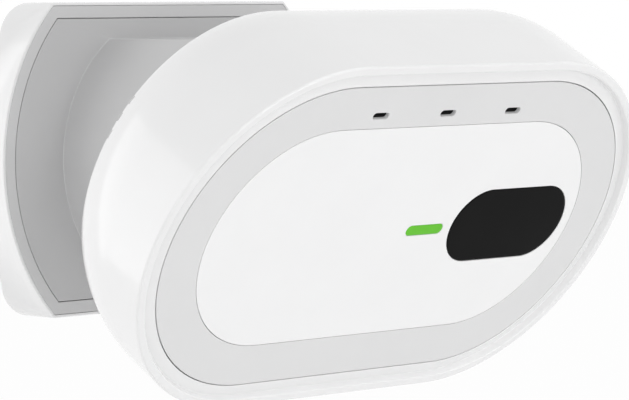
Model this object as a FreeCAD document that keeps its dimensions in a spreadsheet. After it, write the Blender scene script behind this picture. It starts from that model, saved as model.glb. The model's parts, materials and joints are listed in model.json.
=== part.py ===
import FreeCAD, Part

"""Wall-mounted presence sensor: a tilting racetrack-shaped head on a stubby neck and wall plate.

Frame: +Z up, the wall is the plane Y = 0, and the sensor looks towards -Y. The origin is the
centre of the wall plate's back face. Head pieces are drawn in the head's own frame, whose origin
is the tilt axis, and are then placed at the stored tilt.

A station is a distance forward, towards the viewer: from the wall on the mount's pieces, and
from the tilt axis on the head's pieces.
"""

import math
import os

import Sketcher
from FreeCAD import Placement, Rotation, Vector

DRIVING = {
    # Wall mount
    "base_depth": 8.0,
    "base_half_width": 47.9,
    "base_half_height": 33.5,
    "base_corner": 1.0,
    "back_half_width": 44.6,
    "back_side_radius": 150.0,
    "back_corner": 8.0,
    "base_wall": 3.3,
    "hollow_corner": 14.0,
    "rim_width": 3.3,
    "rim_edge": 0.6,
    "rim_sheet": 1.2,
    "seam_gap": 0.15,
    "panel_sheet": 2.0,
    "front_wall": 2.0,
    "bracket_side_gap": 1.8,
    "bracket_gap": 1.6,
    "bracket_sheet": 1.5,
    "wall_hole_pitch": 60.0,
    "wall_hole_radius": 2.2,
    "cable_hole_half_width": 12.0,
    "cable_hole_half_height": 9.0,
    "cable_hole_corner": 3.0,
    "door_half_width": 21.4,
    "door_height": 1.8,
    "door_gap": 0.12,
    "notch_half_width": 5.0,
    "notch_depth": 5.0,
    "notch_relief": 0.5,
    "tab_width": 6.0,
    "tab_side": 30.0,
    "tab_rise": 20.0,
    "tab_reach": 3.6,
    "tab_gap": 0.1,
    "lock_side": 25.0,
    "lock_edge": 0.4,
    "lock_sink": 0.1,
    "lock_length": 6.0,
    "panel_screw_gap": 3.6,
    "panel_screw_rise": 14.0,
    "panel_skin": 0.4,
    "thread_end": 0.2,
    # Neck and tilt hinge
    "neck_radius": 31.4,
    "neck_half_height": 25.6,
    "neck_reach": 29.2,
    "neck_wall": 3.0,
    "neck_end_wall": 3.0,
    "pivot_reach": 45.0,
    "stored_tilt": 29.5,
    "drum_radius": 22.0,
    "drum_half_width": 22.0,
    "drum_wall": 2.4,
    "drum_gap": 0.4,
    "pin_radius": 3.0,
    "pin_clearance": 0.05,
    "pin_overhang": 2.0,
    "arm_half_width": 6.0,
    "arm_half_height": 7.0,
    "arm_gap": 0.3,
    "eye_radius": 6.0,
    "foot_half_width": 12.5,
    "foot_half_height": 14.0,
    "foot_sheet": 3.0,
    "foot_screw_side": 8.5,
    "foot_screw_rise": 10.3,
    "foot_thread": 4.4,
    "lug_width": 3.0,
    "lug_half_height": 6.6,
    "lug_front": 6.2,
    "lug_back": 4.0,
    "washer_sheet": 1.0,
    "spring_washer_sheet": 1.4,
    "washer_radius": 5.6,
    "washer_gap": 0.05,
    "clip_sheet": 0.9,
    "clip_radius": 4.6,
    "clip_groove": 0.5,
    "slot_low": 19.6,
    "slot_high": 8.8,
    # Head casing
    "face_reach": 26.8,
    "head_straight": 28.4,
    "head_radius": 40.2,
    "head_taper": 0.3,
    "lip_height": 0.8,
    "lip_width": 1.9,
    "lip_slope": 0.4,
    "moat_depth": 1.5,
    "moat_land": 0.15,
    "face_margin": 5.2,
    "plates_gap": 0.22,
    "plates_sheet": 2.0,
    "ring_width": 9.65,
    "plate_gap": 0.12,
    "deck_sheet": 1.8,
    "head_wall": 2.4,
    "parting_reach": 10.4,
    "wedge_angle": 5.3,
    "cover_depth": 15.5,
    "cover_round": 25.0,
    "cover_edge": 2.5,
    "cover_wall": 2.2,
    "opening_half_height": 9.0,
    "opening_half_width": 15.0,
    # Window, indicator and microphone ports
    "window_margin": 2.74,
    "window_straight": 8.69,
    "window_radius": 8.86,
    "window_gap": 0.1,
    "window_sheet": 1.4,
    "window_ledge": 1.2,
    "light_margin": 2.58,
    "light_straight": 4.2,
    "light_radius": 1.2,
    "light_gap": 0.06,
    "port_margin": 3.02,
    "port_pitch": 19.5,
    "port_straight": 1.5,
    "port_radius": 0.75,
    # Vents in the cover's rounded edge
    "vent_length": 1.9,
    "vent_height": 0.55,
    "vent_turn": 34.0,
    "vent_lead": 2.0,
    "vent_step": 6.2,
    "vent_start": 16.5,
    "vent_count": 3.0,
    # Electronics
    "board_margin": 6.0,
    "front_board_sheet": 1.0,
    "front_board_space": 1.8,
    "main_board_sheet": 1.6,
    "main_board_reach": 9.0,
    "post_radius": 2.6,
    "post_shoulder": 3.8,
    "post_side": 38.0,
    "post_rise": 21.0,
    "post_gap": 0.2,
    "post_foot": 1.0,
    "spacer_wall": 1.2,
    "cover_post_side": 50.0,
    "cover_post_rise": 16.0,
    "cover_post_radius": 3.2,
    "cover_post_split": 0.1,
    "board_thread": 5.4,
    "cover_thread": 8.0,
    "screw_sink": 0.4,
    "seat_floor": 2.0,
    "seat_clearance": 0.15,
    "screw_radius": 1.2,
    "screw_clearance": 0.06,
    "screw_head_radius": 2.3,
    "screw_head_height": 1.3,
    "cross_width": 0.6,
    "cross_length": 2.6,
    "cross_depth": 0.7,
    "fit_gap": 0.05,
    "pin_gap": 0.1,
    "inlet_side": 29.0,
    "inlet_drop": 19.0,
    "inlet_straight": 2.9,
    "inlet_radius": 1.7,
    "inlet_wall": 0.4,
    "inlet_sink": 0.4,
    "inlet_floor": 0.6,
    "button_radius": 2.4,
    "button_gap": 0.1,
    "button_sink": 0.3,
    "button_rest": 0.12,
    "button_flange": 3.3,
    "button_sheet": 0.7,
    "button_travel": 0.5,
    "switch_radius": 1.44,
    "switch_height": 0.5,
    "switch_half": 2.97,
    "radar_side": 26.0,
    "radar_half": 5.0,
    "patch_pitch": 6.0,
    "patch_half": 1.8,
    "patch_sheet": 0.1,
    "chip_sheet": 1.0,
    "pad_sheet": 0.5,
    "spreader_half_width": 12.0,
    "spreader_half_height": 10.0,
    "spreader_sheet": 1.0,
    "mic_half_width": 1.8,
    "mic_half_height": 1.4,
    "mic_height": 0.9,
    "port_seal_radius": 2.1,
    "sensor_offset": 5.5,
    "sensor_half": 4.2,
    "sensor_barrel": 3.4,
    "sensor_lens": 2.3,
    "sensor_sink": 0.3,
    "sensor_floor": 0.4,
    "lens_sink": 0.5,
    "emitter_near": 3.3,
    "emitter_far": 8.8,
    "emitter_half": 1.6,
    "emitter_base": 0.8,
    "emitter_radius": 1.28,
    "emitter_height": 2.2,
    "led_half_width": 1.4,
    "led_half_height": 0.98,
    "led_height": 0.7,
    "light_stand": 0.9,
    "light_flange": 0.6,
    "shield_side": 16.0,
    "shield_drop": 6.0,
    "shield_half_width": 11.0,
    "shield_half_height": 9.0,
    "shield_height": 2.6,
    "shield_wall": 0.3,
    "radio_side": 26.0,
    "radio_half": 7.5,
    "link_side": 6.0,
    "link_drop": 18.0,
    "link_half_width": 7.0,
    "link_half_height": 2.0,
    "capacitor_radius": 2.6,
    "capacitor_height": 6.0,
    "capacitor_side": 42.0,
    "capacitor_pitch": 6.5,
}


class Size:
    """A length or angle that carries its number and the sheet expression that gives it."""

    def __init__(self, number, text):
        self.number, self.text = number, text

    def _with(self, other, sign, result):
        text = other.text if isinstance(other, Size) else repr(float(other))
        return Size(result, "(%s %s %s)" % (self.text, sign, text))

    def __add__(self, other):
        return self._with(other, "+", self.number + value(other))

    def __sub__(self, other):
        return self._with(other, "-", self.number - value(other))

    def __mul__(self, other):
        return self._with(other, "*", self.number * value(other))

    def __truediv__(self, other):
        return self._with(other, "/", self.number / value(other))

    def __neg__(self):
        return Size(-self.number, "(0 - %s)" % self.text)


def value(size):
    """The plain number of a size."""
    return size.number if isinstance(size, Size) else float(size)


def text(size):
    """The sheet expression of a size."""
    return size.text if isinstance(size, Size) else repr(float(size))


def root(size):
    """The square root of a size."""
    return Size(math.sqrt(size.number), "sqrt(%s)" % size.text)


def tangent(angle):
    """The tangent of an angle in degrees."""
    return Size(math.tan(math.radians(angle.number)), "tan(%s)" % angle.text)


def cosine(angle):
    """The cosine of an angle in degrees."""
    return Size(math.cos(math.radians(angle.number)), "cos(%s)" % angle.text)


def sine(angle):
    """The sine of an angle in degrees."""
    return Size(math.sin(math.radians(angle.number)), "sin(%s)" % angle.text)


doc = FreeCAD.newDocument("presence_sensor")
sheet = doc.addObject("Spreadsheet::Sheet", "Sizes")
for row, (alias, number) in enumerate(DRIVING.items(), start=1):
    sheet.set("A%d" % row, alias)
    sheet.set("B%d" % row, repr(number))
    sheet.setAlias("B%d" % row, alias)
doc.recompute()


class Sheet:
    """Gives each cell of the sheet as a Size, by its alias."""

    def __getattr__(self, alias):
        return Size(DRIVING[alias], "Sizes." + alias)


S = Sheet()
ZERO = Size(0.0, "0.0")
PAST = ZERO + 1.0  # how far a cutting solid runs past the face it cuts
parts = {}


# Places


def bind_place(thing, x, y, z, tilt=None):
    """Places an object at x, y, z, turned about X by tilt degrees."""
    angle = value(tilt) if tilt is not None else 0.0
    thing.Placement = Placement(Vector(value(x), value(y), value(z)), Rotation(Vector(1, 0, 0), angle))
    for axis, size in (("x", x), ("y", y), ("z", z)):
        thing.setExpression(".Placement.Base.%s" % axis, text(size))
    if tilt is not None:
        thing.setExpression(".Placement.Rotation.Angle", text(tilt))


PIVOT_Y = -(S.base_depth + S.pivot_reach)


def on_head(thing):
    """Moves a piece from the head's own frame to the stored tilt."""
    bind_place(thing, ZERO, PIVOT_Y, ZERO, S.stored_tilt)


def finish(thing, name, head=False):
    """Names a piece, which also names its file, and stores it."""
    if head:
        if thing.TypeId in ("Part::Box", "Part::Cylinder"):
            thing = group(name + "_piece", [thing])
        on_head(thing)
    thing.Label = name
    parts[name] = thing
    return thing


# Sketch outlines, each centred on its sketch's own origin


def arc(centre, radius, start, end):
    circle = Part.Circle(Vector(centre[0], centre[1], 0), Vector(0, 0, 1), radius)
    return Part.ArcOfCircle(circle, math.radians(start), math.radians(end))


def segment(a, b):
    return Part.LineSegment(Vector(a[0], a[1], 0), Vector(b[0], b[1], 0))


def datum(sketch, kind, *what):
    """Adds a dimension and binds it to the sheet."""
    *where, size = what
    index = sketch.addConstraint(Sketcher.Constraint(kind, *where, value(size)))
    sketch.setExpression("Constraints[%d]" % index, text(size))


def rule(sketch, kind, *where):
    sketch.addConstraint(Sketcher.Constraint(kind, *where))


def circle(radius):
    """An outline: a circle."""

    def draw(sketch):
        sketch.addGeometry(Part.Circle(Vector(0, 0, 0), Vector(0, 0, 1), value(radius)))
        rule(sketch, "Coincident", 0, 3, -1, 1)
        datum(sketch, "Radius", 0, radius)

    return draw


def rectangle(half_width, half_height):
    """An outline: a rectangle."""

    def draw(sketch):
        w, h = value(half_width), value(half_height)
        corners = [(-w, -h), (w, -h), (w, h), (-w, h)]
        for i in range(4):
            sketch.addGeometry(segment(corners[i], corners[(i + 1) % 4]))
        for i in range(4):
            rule(sketch, "Coincident", i, 2, (i + 1) % 4, 1)
            rule(sketch, "Vertical" if i % 2 else "Horizontal", i)
        rule(sketch, "Symmetric", 0, 1, 2, 1, -1, 1)
        datum(sketch, "DistanceX", 0, 1, 0, 2, half_width * 2)
        datum(sketch, "DistanceY", 1, 1, 1, 2, half_height * 2)

    return draw


def stadium(half_straight, radius):
    """An outline: two straight sides joined by half circles."""

    def draw(sketch):
        a, r = value(half_straight), value(radius)
        sketch.addGeometry(segment((-a, r), (a, r)))
        sketch.addGeometry(arc((a, 0), r, -90, 90))
        sketch.addGeometry(segment((a, -r), (-a, -r)))
        sketch.addGeometry(arc((-a, 0), r, 90, 270))
        rule(sketch, "Tangent", 0, 2, 1, 2)
        rule(sketch, "Tangent", 1, 1, 2, 1)
        rule(sketch, "Tangent", 2, 2, 3, 2)
        rule(sketch, "Tangent", 3, 1, 0, 1)
        rule(sketch, "Equal", 1, 3)
        rule(sketch, "Horizontal", 0)
        rule(sketch, "Symmetric", 1, 3, 3, 3, -1, 1)
        datum(sketch, "DistanceX", 3, 3, 1, 3, half_straight * 2)
        datum(sketch, "Radius", 1, radius)

    return draw


def barrel(radius, half_height):
    """An outline: a circle cut off flat at its top and bottom."""

    def draw(sketch):
        r, h = value(radius), value(half_height)
        x = math.sqrt(r * r - h * h)
        reach = math.degrees(math.asin(h / r))
        sketch.addGeometry(arc((0, 0), r, -reach, reach))
        sketch.addGeometry(segment((x, h), (-x, h)))
        sketch.addGeometry(arc((0, 0), r, 180 - reach, 180 + reach))
        sketch.addGeometry(segment((-x, -h), (x, -h)))
        rule(sketch, "Coincident", 0, 3, -1, 1)
        rule(sketch, "Coincident", 2, 3, -1, 1)
        rule(sketch, "Coincident", 0, 2, 1, 1)
        rule(sketch, "Coincident", 1, 2, 2, 1)
        rule(sketch, "Coincident", 2, 2, 3, 1)
        rule(sketch, "Coincident", 3, 2, 0, 1)
        rule(sketch, "Horizontal", 1)
        rule(sketch, "Horizontal", 3)
        datum(sketch, "Radius", 0, radius)
        datum(sketch, "DistanceY", 3, 2, 1, 1, half_height * 2)
        rule(sketch, "Symmetric", 1, 1, 3, 1, -1, 1)

    return draw


def rounded(half_width, half_height, corner):
    """An outline: a rectangle with rounded corners."""

    def draw(sketch):
        w, h, c = value(half_width), value(half_height), value(corner)
        a, b = w - c, h - c
        sketch.addGeometry(segment((-a, h), (a, h)))
        sketch.addGeometry(arc((a, b), c, 0, 90))
        sketch.addGeometry(segment((w, b), (w, -b)))
        sketch.addGeometry(arc((a, -b), c, 270, 360))
        sketch.addGeometry(segment((a, -h), (-a, -h)))
        sketch.addGeometry(arc((-a, -b), c, 180, 270))
        sketch.addGeometry(segment((-w, -b), (-w, b)))
        sketch.addGeometry(arc((-a, b), c, 90, 180))
        for i in (0, 2, 4, 6):
            rule(sketch, "Tangent", i, 2, i + 1, 2)
            rule(sketch, "Tangent", i + 1, 1, (i + 2) % 8, 1)
            rule(sketch, "Vertical" if i % 4 else "Horizontal", i)
        for other in (3, 5, 7):
            rule(sketch, "Equal", 1, other)
        rule(sketch, "Symmetric", 1, 3, 5, 3, -1, 1)
        datum(sketch, "Radius", 1, corner)
        datum(sketch, "DistanceX", 5, 3, 1, 3, (half_width - corner) * 2)
        datum(sketch, "DistanceY", 5, 3, 1, 3, (half_height - corner) * 2)

    return draw


def pillow(half_width, half_height, side_radius, corner_radius):
    """An outline: flat top and bottom, sides on large arcs, and rounded corners."""
    inner = side_radius - corner_radius
    level = half_height - corner_radius
    corner_x = (half_width - side_radius) + root(inner * inner - level * level)

    def draw(sketch):
        w, h, big, c = (value(s) for s in (half_width, half_height, side_radius, corner_radius))
        cx, cy, side_x = value(corner_x), h - c, w - big
        lean = math.degrees(math.atan2(cy, cx - side_x))
        sketch.addGeometry(segment((-cx, h), (cx, h)))
        sketch.addGeometry(arc((cx, cy), c, lean, 90))
        sketch.addGeometry(arc((side_x, 0), big, -lean, lean))
        sketch.addGeometry(arc((cx, -cy), c, -90, -lean))
        sketch.addGeometry(segment((cx, -h), (-cx, -h)))
        sketch.addGeometry(arc((-cx, -cy), c, 180 + lean, 270))
        sketch.addGeometry(arc((-side_x, 0), big, 180 - lean, 180 + lean))
        sketch.addGeometry(arc((-cx, cy), c, 90, 180 - lean))
        rule(sketch, "Tangent", 0, 2, 1, 2)
        rule(sketch, "Tangent", 1, 1, 2, 2)
        rule(sketch, "Tangent", 2, 1, 3, 2)
        rule(sketch, "Tangent", 3, 1, 4, 1)
        rule(sketch, "Tangent", 4, 2, 5, 2)
        rule(sketch, "Tangent", 5, 1, 6, 2)
        rule(sketch, "Tangent", 6, 1, 7, 2)
        rule(sketch, "Tangent", 7, 1, 0, 1)
        for other in (3, 5, 7):
            rule(sketch, "Equal", 1, other)
        rule(sketch, "Equal", 2, 6)
        rule(sketch, "Horizontal", 0)
        rule(sketch, "Symmetric", 1, 3, 5, 3, -1, 1)
        datum(sketch, "Radius", 1, corner_radius)
        datum(sketch, "Radius", 2, side_radius)
        datum(sketch, "DistanceX", 5, 3, 1, 3, corner_x * 2)
        datum(sketch, "DistanceY", 5, 3, 1, 3, (half_height - corner_radius) * 2)

    return draw


# Solid features, drawn on a body's own XZ plane


def new_body(name):
    return doc.addObject("PartDesign::Body", name)


def draw_on(body, outline, station, x=ZERO, z=ZERO, lean=None, role="XZ_Plane"):
    """A sketch of an outline, at a distance along the normal of one of the body's own planes.

    The XZ plane's normal points forward, and the YZ plane's points right. The sketch may lean
    about its own level axis.
    """
    sketch = body.newObject("Sketcher::SketchObject", "Outline")
    plane = next(f for f in body.Origin.OriginFeatures if f.Role == role)
    sketch.AttachmentSupport = (plane, "")
    sketch.MapMode = "FlatFace"
    angle = value(lean) if lean is not None else 0.0
    sketch.AttachmentOffset = Placement(
        Vector(value(x), value(z), value(station)), Rotation(Vector(1, 0, 0), angle)
    )
    for axis, size in (("x", x), ("y", z), ("z", station)):
        sketch.setExpression(".AttachmentOffset.Base.%s" % axis, text(size))
    if lean is not None:
        sketch.setExpression(".AttachmentOffset.Rotation.Angle", text(lean))
    outline(sketch)
    return sketch


def length_along(feature, back, front, lean):
    """Sets how far a feature goes, so that its far face ends at the stated station."""
    size = front - back if lean is None else (front - back) * cosine(lean)
    feature.Length = value(size)
    feature.setExpression("Length", text(size))


def add(body, outline, back, front, x=ZERO, z=ZERO, lean=None):
    """Adds material from the back station to the front one."""
    feature = body.newObject("PartDesign::Pad", "Pad")
    feature.Profile = draw_on(body, outline, back, x, z, lean)
    length_along(feature, back, front, lean)
    return feature


def take(body, outline, back, front, x=ZERO, z=ZERO, lean=None):
    """Removes material from the front station back to the back one."""
    feature = body.newObject("PartDesign::Pocket", "Pocket")
    feature.Profile = draw_on(body, outline, front, x, z, lean)
    length_along(feature, back, front, lean)
    return feature


def add_across(body, outline, x0, x1):
    """Adds material about the tilt axis, from x0 to x1."""
    feature = body.newObject("PartDesign::Pad", "Pad")
    feature.Profile = draw_on(body, outline, x0, role="YZ_Plane")
    length_along(feature, x0, x1, None)
    return feature


def take_across(body, outline, x0, x1, y=ZERO):
    """Removes material about an axis along X, from x1 back to x0."""
    feature = body.newObject("PartDesign::Pocket", "Pocket")
    feature.Profile = draw_on(body, outline, x1, x=y, role="YZ_Plane")
    length_along(feature, x0, x1, None)
    return feature


def round_edges(body, radius, wanted):
    """Rounds the edges of a body's last shape whose middle the test accepts."""
    doc.recompute()
    tip = body.Tip
    names = ["Edge%d" % (i + 1) for i, e in enumerate(tip.Shape.Edges) if wanted(e.CenterOfMass)]
    feature = body.newObject("PartDesign::Fillet", "Fillet")
    feature.Base = (tip, names)
    feature.Radius = value(radius)
    feature.setExpression("Radius", text(radius))
    return feature


def plate(name, outline, back, front, x=ZERO, z=ZERO):
    """A body with one pad: an outline from one station to another."""
    body = new_body(name)
    add(body, outline, back, front, x, z)
    return body


def loft(body, first, first_station, second, second_station, cut=False):
    """A straight-sided loft between two outlines, added or removed."""
    kind = "PartDesign::SubtractiveLoft" if cut else "PartDesign::AdditiveLoft"
    feature = body.newObject(kind, "Loft")
    feature.Profile = draw_on(body, first, first_station)
    feature.Sections = [draw_on(body, second, second_station)]
    feature.Ruled = True
    return feature


# Plain solids for tools and small pieces


def block(name, x0, x1, back, front, z0, z1):
    """A box from x0 to x1 and z0 to z1, between two stations."""
    box = doc.addObject("Part::Box", name)
    for side, size in (("Length", x1 - x0), ("Width", front - back), ("Height", z1 - z0)):
        setattr(box, side, value(size))
        box.setExpression(side, text(size))
    bind_place(box, x0, -front, z0)
    return box


def rod(name, radius, x0, x1, station=ZERO, z=ZERO):
    """A cylinder along X from x0 to x1."""
    bar = doc.addObject("Part::Cylinder", name)
    for side, size in (("Radius", radius), ("Height", x1 - x0)):
        setattr(bar, side, value(size))
        bar.setExpression(side, text(size))
    bar.Placement = Placement(
        Vector(value(x0), -value(station), value(z)), Rotation(Vector(0, 1, 0), 90)
    )
    for axis, size in (("x", x0), ("y", -station), ("z", z)):
        bar.setExpression(".Placement.Base.%s" % axis, text(size))
    return bar


def stub(name, radius, back, front, x=ZERO, z=ZERO):
    """A cylinder along the forward direction, between two stations."""
    bar = doc.addObject("Part::Cylinder", name)
    for side, size in (("Radius", radius), ("Height", front - back)):
        setattr(bar, side, value(size))
        bar.setExpression(side, text(size))
    bar.Placement = Placement(
        Vector(value(x), -value(back), value(z)), Rotation(Vector(1, 0, 0), 90)
    )
    for axis, size in (("x", x), ("y", -back), ("z", z)):
        bar.setExpression(".Placement.Base.%s" % axis, text(size))
    return bar


def fuse(name, shapes):
    whole = doc.addObject("Part::MultiFuse", name)
    whole.Shapes = shapes
    return whole


def subtract(name, base, tools):
    """A solid with one or more tools cut out of it."""
    cut = doc.addObject("Part::Cut", name)
    cut.Base = base
    cut.Tool = tools[0] if len(tools) == 1 else fuse(name + "_tools", tools)
    return cut


def group(name, shapes):
    """Several separate solids kept as one piece's node."""
    bundle = doc.addObject("Part::Compound", name)
    bundle.Links = shapes
    return bundle


def post(name, radius, z0, z1, x, station):
    """An upright cylinder from z0 to z1."""
    bar = doc.addObject("Part::Cylinder", name)
    for side, size in (("Radius", radius), ("Height", z1 - z0)):
        setattr(bar, side, value(size))
        bar.setExpression(side, text(size))
    bind_place(bar, x, -station, z0)
    return bar


def corners(side, rise):
    """Four places, at plus and minus side and rise."""
    return [(side, rise), (-side, rise), (-side, -rise), (side, -rise)]


def stubs(name, radius, back, front, places):
    """A forward-pointing cylinder at each place."""
    return [stub(name, radius, back, front, x, z) for x, z in places]


def ring(name, outer, inner, back, front, x=ZERO, z=ZERO):
    """A flat ring, between two stations."""
    return subtract(name, stub(name + "_disc", outer, back, front, x, z),
                    [stub(name + "_bore", inner, back, front, x, z)])


def screw(name, head_back, length, x, z):
    """A cross-headed screw that points forward, with its head's back face at a station."""
    seat = head_back + S.screw_head_height
    blank = fuse(name + "_blank", [
        stub(name + "_head", S.screw_head_radius, head_back, seat, x, z),
        stub(name + "_shank", S.screw_radius, seat, seat + length, x, z),
    ])
    slot, reach, floor = S.cross_width / 2, S.cross_length / 2, head_back + S.cross_depth
    return subtract(name, blank, [
        block(name + "_slot", x - slot, x + slot, head_back, floor, z - reach, z + reach),
        block(name + "_cross", x - reach, x + reach, head_back, floor, z - slot, z + slot),
    ])


# Wall mount

base_front = S.base_depth
panel_back = base_front - S.panel_sheet
hollow_front = panel_back - S.front_wall
pivot = base_front + S.pivot_reach
saddle_radius = S.drum_radius + S.drum_gap
foot_front = pivot - saddle_radius - S.neck_end_wall
half_pitch = S.wall_hole_pitch / 2
screw_hole = S.screw_radius + S.screw_clearance
panel_spots = corners(S.neck_radius + S.panel_screw_gap, S.panel_screw_rise)
foot_spots = corners(S.foot_screw_side, S.foot_screw_rise)
room_half_width = S.back_half_width - S.base_wall
room_half_height = S.base_half_height - S.base_wall
bracket_half_width = room_half_width - S.bracket_side_gap
bracket_half_height = room_half_height - S.bracket_gap
bracket_corner = S.hollow_corner - S.bracket_gap
door_top = S.door_height - S.base_half_height
lock_top = S.tab_gap - bracket_half_height
lock_station = S.tab_reach - S.screw_radius - S.lock_edge
lock_seat = S.screw_head_height - S.base_half_height + S.lock_sink


def make_wall_bracket():
    """The steel plate that two screws hold on the wall, with bent tabs that carry the base."""
    base = plate("bracket_blank", rounded(bracket_half_width, bracket_half_height, bracket_corner),
                 ZERO, S.bracket_sheet)
    tabs = [
        block("bracket_tab", x - S.tab_width / 2, x + S.tab_width / 2, ZERO, S.tab_reach,
              z - S.bracket_sheet / 2, z + S.bracket_sheet / 2)
        for x, z in corners(S.tab_side, S.tab_rise)
    ]
    lock = block("bracket_lock_tab", S.lock_side - S.tab_width / 2, S.lock_side + S.tab_width / 2, ZERO,
                 S.tab_reach, -bracket_half_height, S.bracket_sheet - bracket_half_height)
    cable_hole = plate("bracket_cable_hole",
                       rounded(S.cable_hole_half_width, S.cable_hole_half_height, S.cable_hole_corner),
                       -S.bracket_sheet, S.bracket_sheet * 2)
    tools = [stub("bracket_hole", S.wall_hole_radius, -S.bracket_sheet, S.bracket_sheet * 2, x)
             for x in (half_pitch, -half_pitch)]
    tools.append(cable_hole)
    tools.append(post("bracket_lock_hole", S.screw_radius, -S.base_half_height, lock_top + S.tab_width,
                      S.lock_side, lock_station))
    finish(subtract("wall_bracket", fuse("bracket_solid", [base, lock] + tabs), tools), "wall_bracket")


def make_base_shell():
    """The white shell: a rounded rectangle at the wall that grows to a flat-topped disc in front."""
    body = new_body("shell_body")
    loft(body, pillow(S.back_half_width, S.base_half_height, S.back_side_radius, S.back_corner), ZERO,
         pillow(S.base_half_width, S.base_half_height, S.base_half_width, S.base_corner), base_front)
    take(body, barrel(S.base_half_width - S.rim_edge, S.base_half_height - S.rim_edge),
         base_front - S.rim_sheet, base_front)
    take(body, barrel(S.base_half_width - S.rim_width, S.base_half_height - S.rim_width),
         panel_back, base_front)
    take(body, rounded(room_half_width, room_half_height, S.hollow_corner), ZERO, hollow_front)
    take(body, barrel(S.neck_radius - S.neck_wall, S.neck_half_height - S.neck_wall),
         hollow_front, panel_back)
    edge = S.base_half_height + PAST
    tools = stubs("shell_screw_hole", screw_hole, hollow_front - PAST, panel_back + PAST, panel_spots)
    tools.append(block("shell_door_cut", -(S.door_half_width + S.door_gap), S.door_half_width + S.door_gap,
                       -PAST, base_front + PAST, -edge, door_top + S.door_gap))
    tools.append(block("shell_notch", -S.notch_half_width, S.notch_half_width, -PAST, S.notch_depth,
                       -edge, S.notch_relief - room_half_height))
    tools.append(post("shell_lock_hole", screw_hole, -edge, PAST - room_half_height,
                      S.lock_side, lock_station))
    tools.append(post("shell_lock_seat", S.screw_head_radius + S.screw_clearance, -edge,
                      lock_seat, S.lock_side, lock_station))
    finish(subtract("base_shell", body, tools), "base_shell")


def make_rim_ring():
    """The grey rim round the front of the base."""
    body = plate("rim_body", barrel(S.base_half_width - S.rim_edge - S.seam_gap / 2,
                                    S.base_half_height - S.rim_edge - S.seam_gap / 2),
                 base_front - S.rim_sheet, base_front)
    take(body, barrel(S.base_half_width - S.rim_width, S.base_half_height - S.rim_width),
         base_front - S.rim_sheet * 2, base_front)
    cut = block("rim_door_cut", -(S.door_half_width + S.door_gap), S.door_half_width + S.door_gap,
                ZERO, base_front + PAST, -S.base_half_height, door_top + S.door_gap)
    finish(subtract("rim_ring", body, [cut]), "rim_ring")


def make_neck_housing():
    """The grey front panel and the hollow neck, which ends in a saddle for the head's drum."""
    body = plate("neck_body", barrel(S.base_half_width - S.rim_width - S.seam_gap,
                                     S.base_half_height - S.rim_width - S.seam_gap),
                 panel_back, base_front)
    add(body, barrel(S.neck_radius, S.neck_half_height), base_front, base_front + S.neck_reach)
    take(body, barrel(S.neck_radius - S.neck_wall, S.neck_half_height - S.neck_wall),
         panel_back - PAST, foot_front)
    take_across(body, circle(saddle_radius), -(S.drum_half_width + S.drum_gap),
                S.drum_half_width + S.drum_gap, y=-pivot)
    take(body, rectangle(S.arm_half_width + S.arm_gap, S.arm_half_height + S.arm_gap),
         foot_front - PAST, pivot)
    tools = stubs("neck_screw_hole", S.screw_radius, panel_back - PAST, base_front - S.panel_skin,
                  panel_spots)
    tools += stubs("neck_foot_hole", S.screw_radius, foot_front - PAST,
                   foot_front + S.foot_thread + S.thread_end, foot_spots)
    finish(subtract("neck_housing", body, tools), "neck_housing")


def make_cable_door():
    """The strip that closes the cable entry at the foot of the base."""
    half = S.door_half_width
    strip = block("door_strip", -half, half, ZERO, base_front, -S.base_half_height, door_top)
    notch = block("door_notch", -S.notch_half_width, S.notch_half_width, -PAST, S.notch_depth,
                  -(S.base_half_height + PAST), door_top + PAST)
    finish(subtract("cable_door", strip, [notch]), "cable_door")


def make_base_screws():
    """The screws that hold the panel, the arm's foot and the bracket."""
    head = S.screw_head_height
    panel = [screw("panel_screw", hollow_front - head,
                   S.panel_sheet + S.front_wall - S.panel_skin - S.thread_end, x, z)
             for x, z in panel_spots]
    finish(group("panel_screws", panel), "panel_screws")
    foot_back = foot_front - S.foot_sheet
    foot = [screw("arm_screw", foot_back - head, S.foot_sheet + S.foot_thread, x, z)
            for x, z in foot_spots]
    finish(group("arm_screws", foot), "arm_screws")
    finish(fuse("lock_screw", [
        post("lock_head", S.screw_head_radius, lock_seat - head, lock_seat, S.lock_side, lock_station),
        post("lock_shank", S.screw_radius, lock_seat, lock_seat + S.lock_length, S.lock_side,
             lock_station),
    ]), "lock_screw")


def make_tilt_arm():
    """The arm that stands on the neck's end wall and carries the tilt pin in its eye."""
    body = plate("arm_body", rectangle(S.foot_half_width, S.foot_half_height),
                 foot_front - S.foot_sheet, foot_front)
    add(body, rectangle(S.arm_half_width, S.arm_half_height), foot_front, pivot - S.pin_radius + PAST)
    half = S.arm_half_width
    whole = fuse("arm_solid", [body, rod("arm_eye", S.eye_radius, -half, half, pivot)])
    tools = [rod("arm_bore", S.pin_radius + S.pin_clearance, -half - PAST, half + PAST, pivot)]
    tools += stubs("arm_foot_hole", screw_hole, foot_front - S.foot_sheet - PAST, foot_front + PAST,
                   foot_spots)
    finish(subtract("tilt_arm", whole, tools), "tilt_arm")


# Tilt hinge, in the head's own frame from here on

left_lug = S.arm_half_width + S.washer_gap * 2 + S.washer_sheet
right_lug = left_lug + S.spring_washer_sheet + S.washer_gap
pin_bore = S.pin_radius + S.pin_clearance


def washer(name, radius, x0, x1):
    return subtract(name, rod(name + "_disc", radius, x0, x1), [rod(name + "_bore", pin_bore, x0, x1)])


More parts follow.
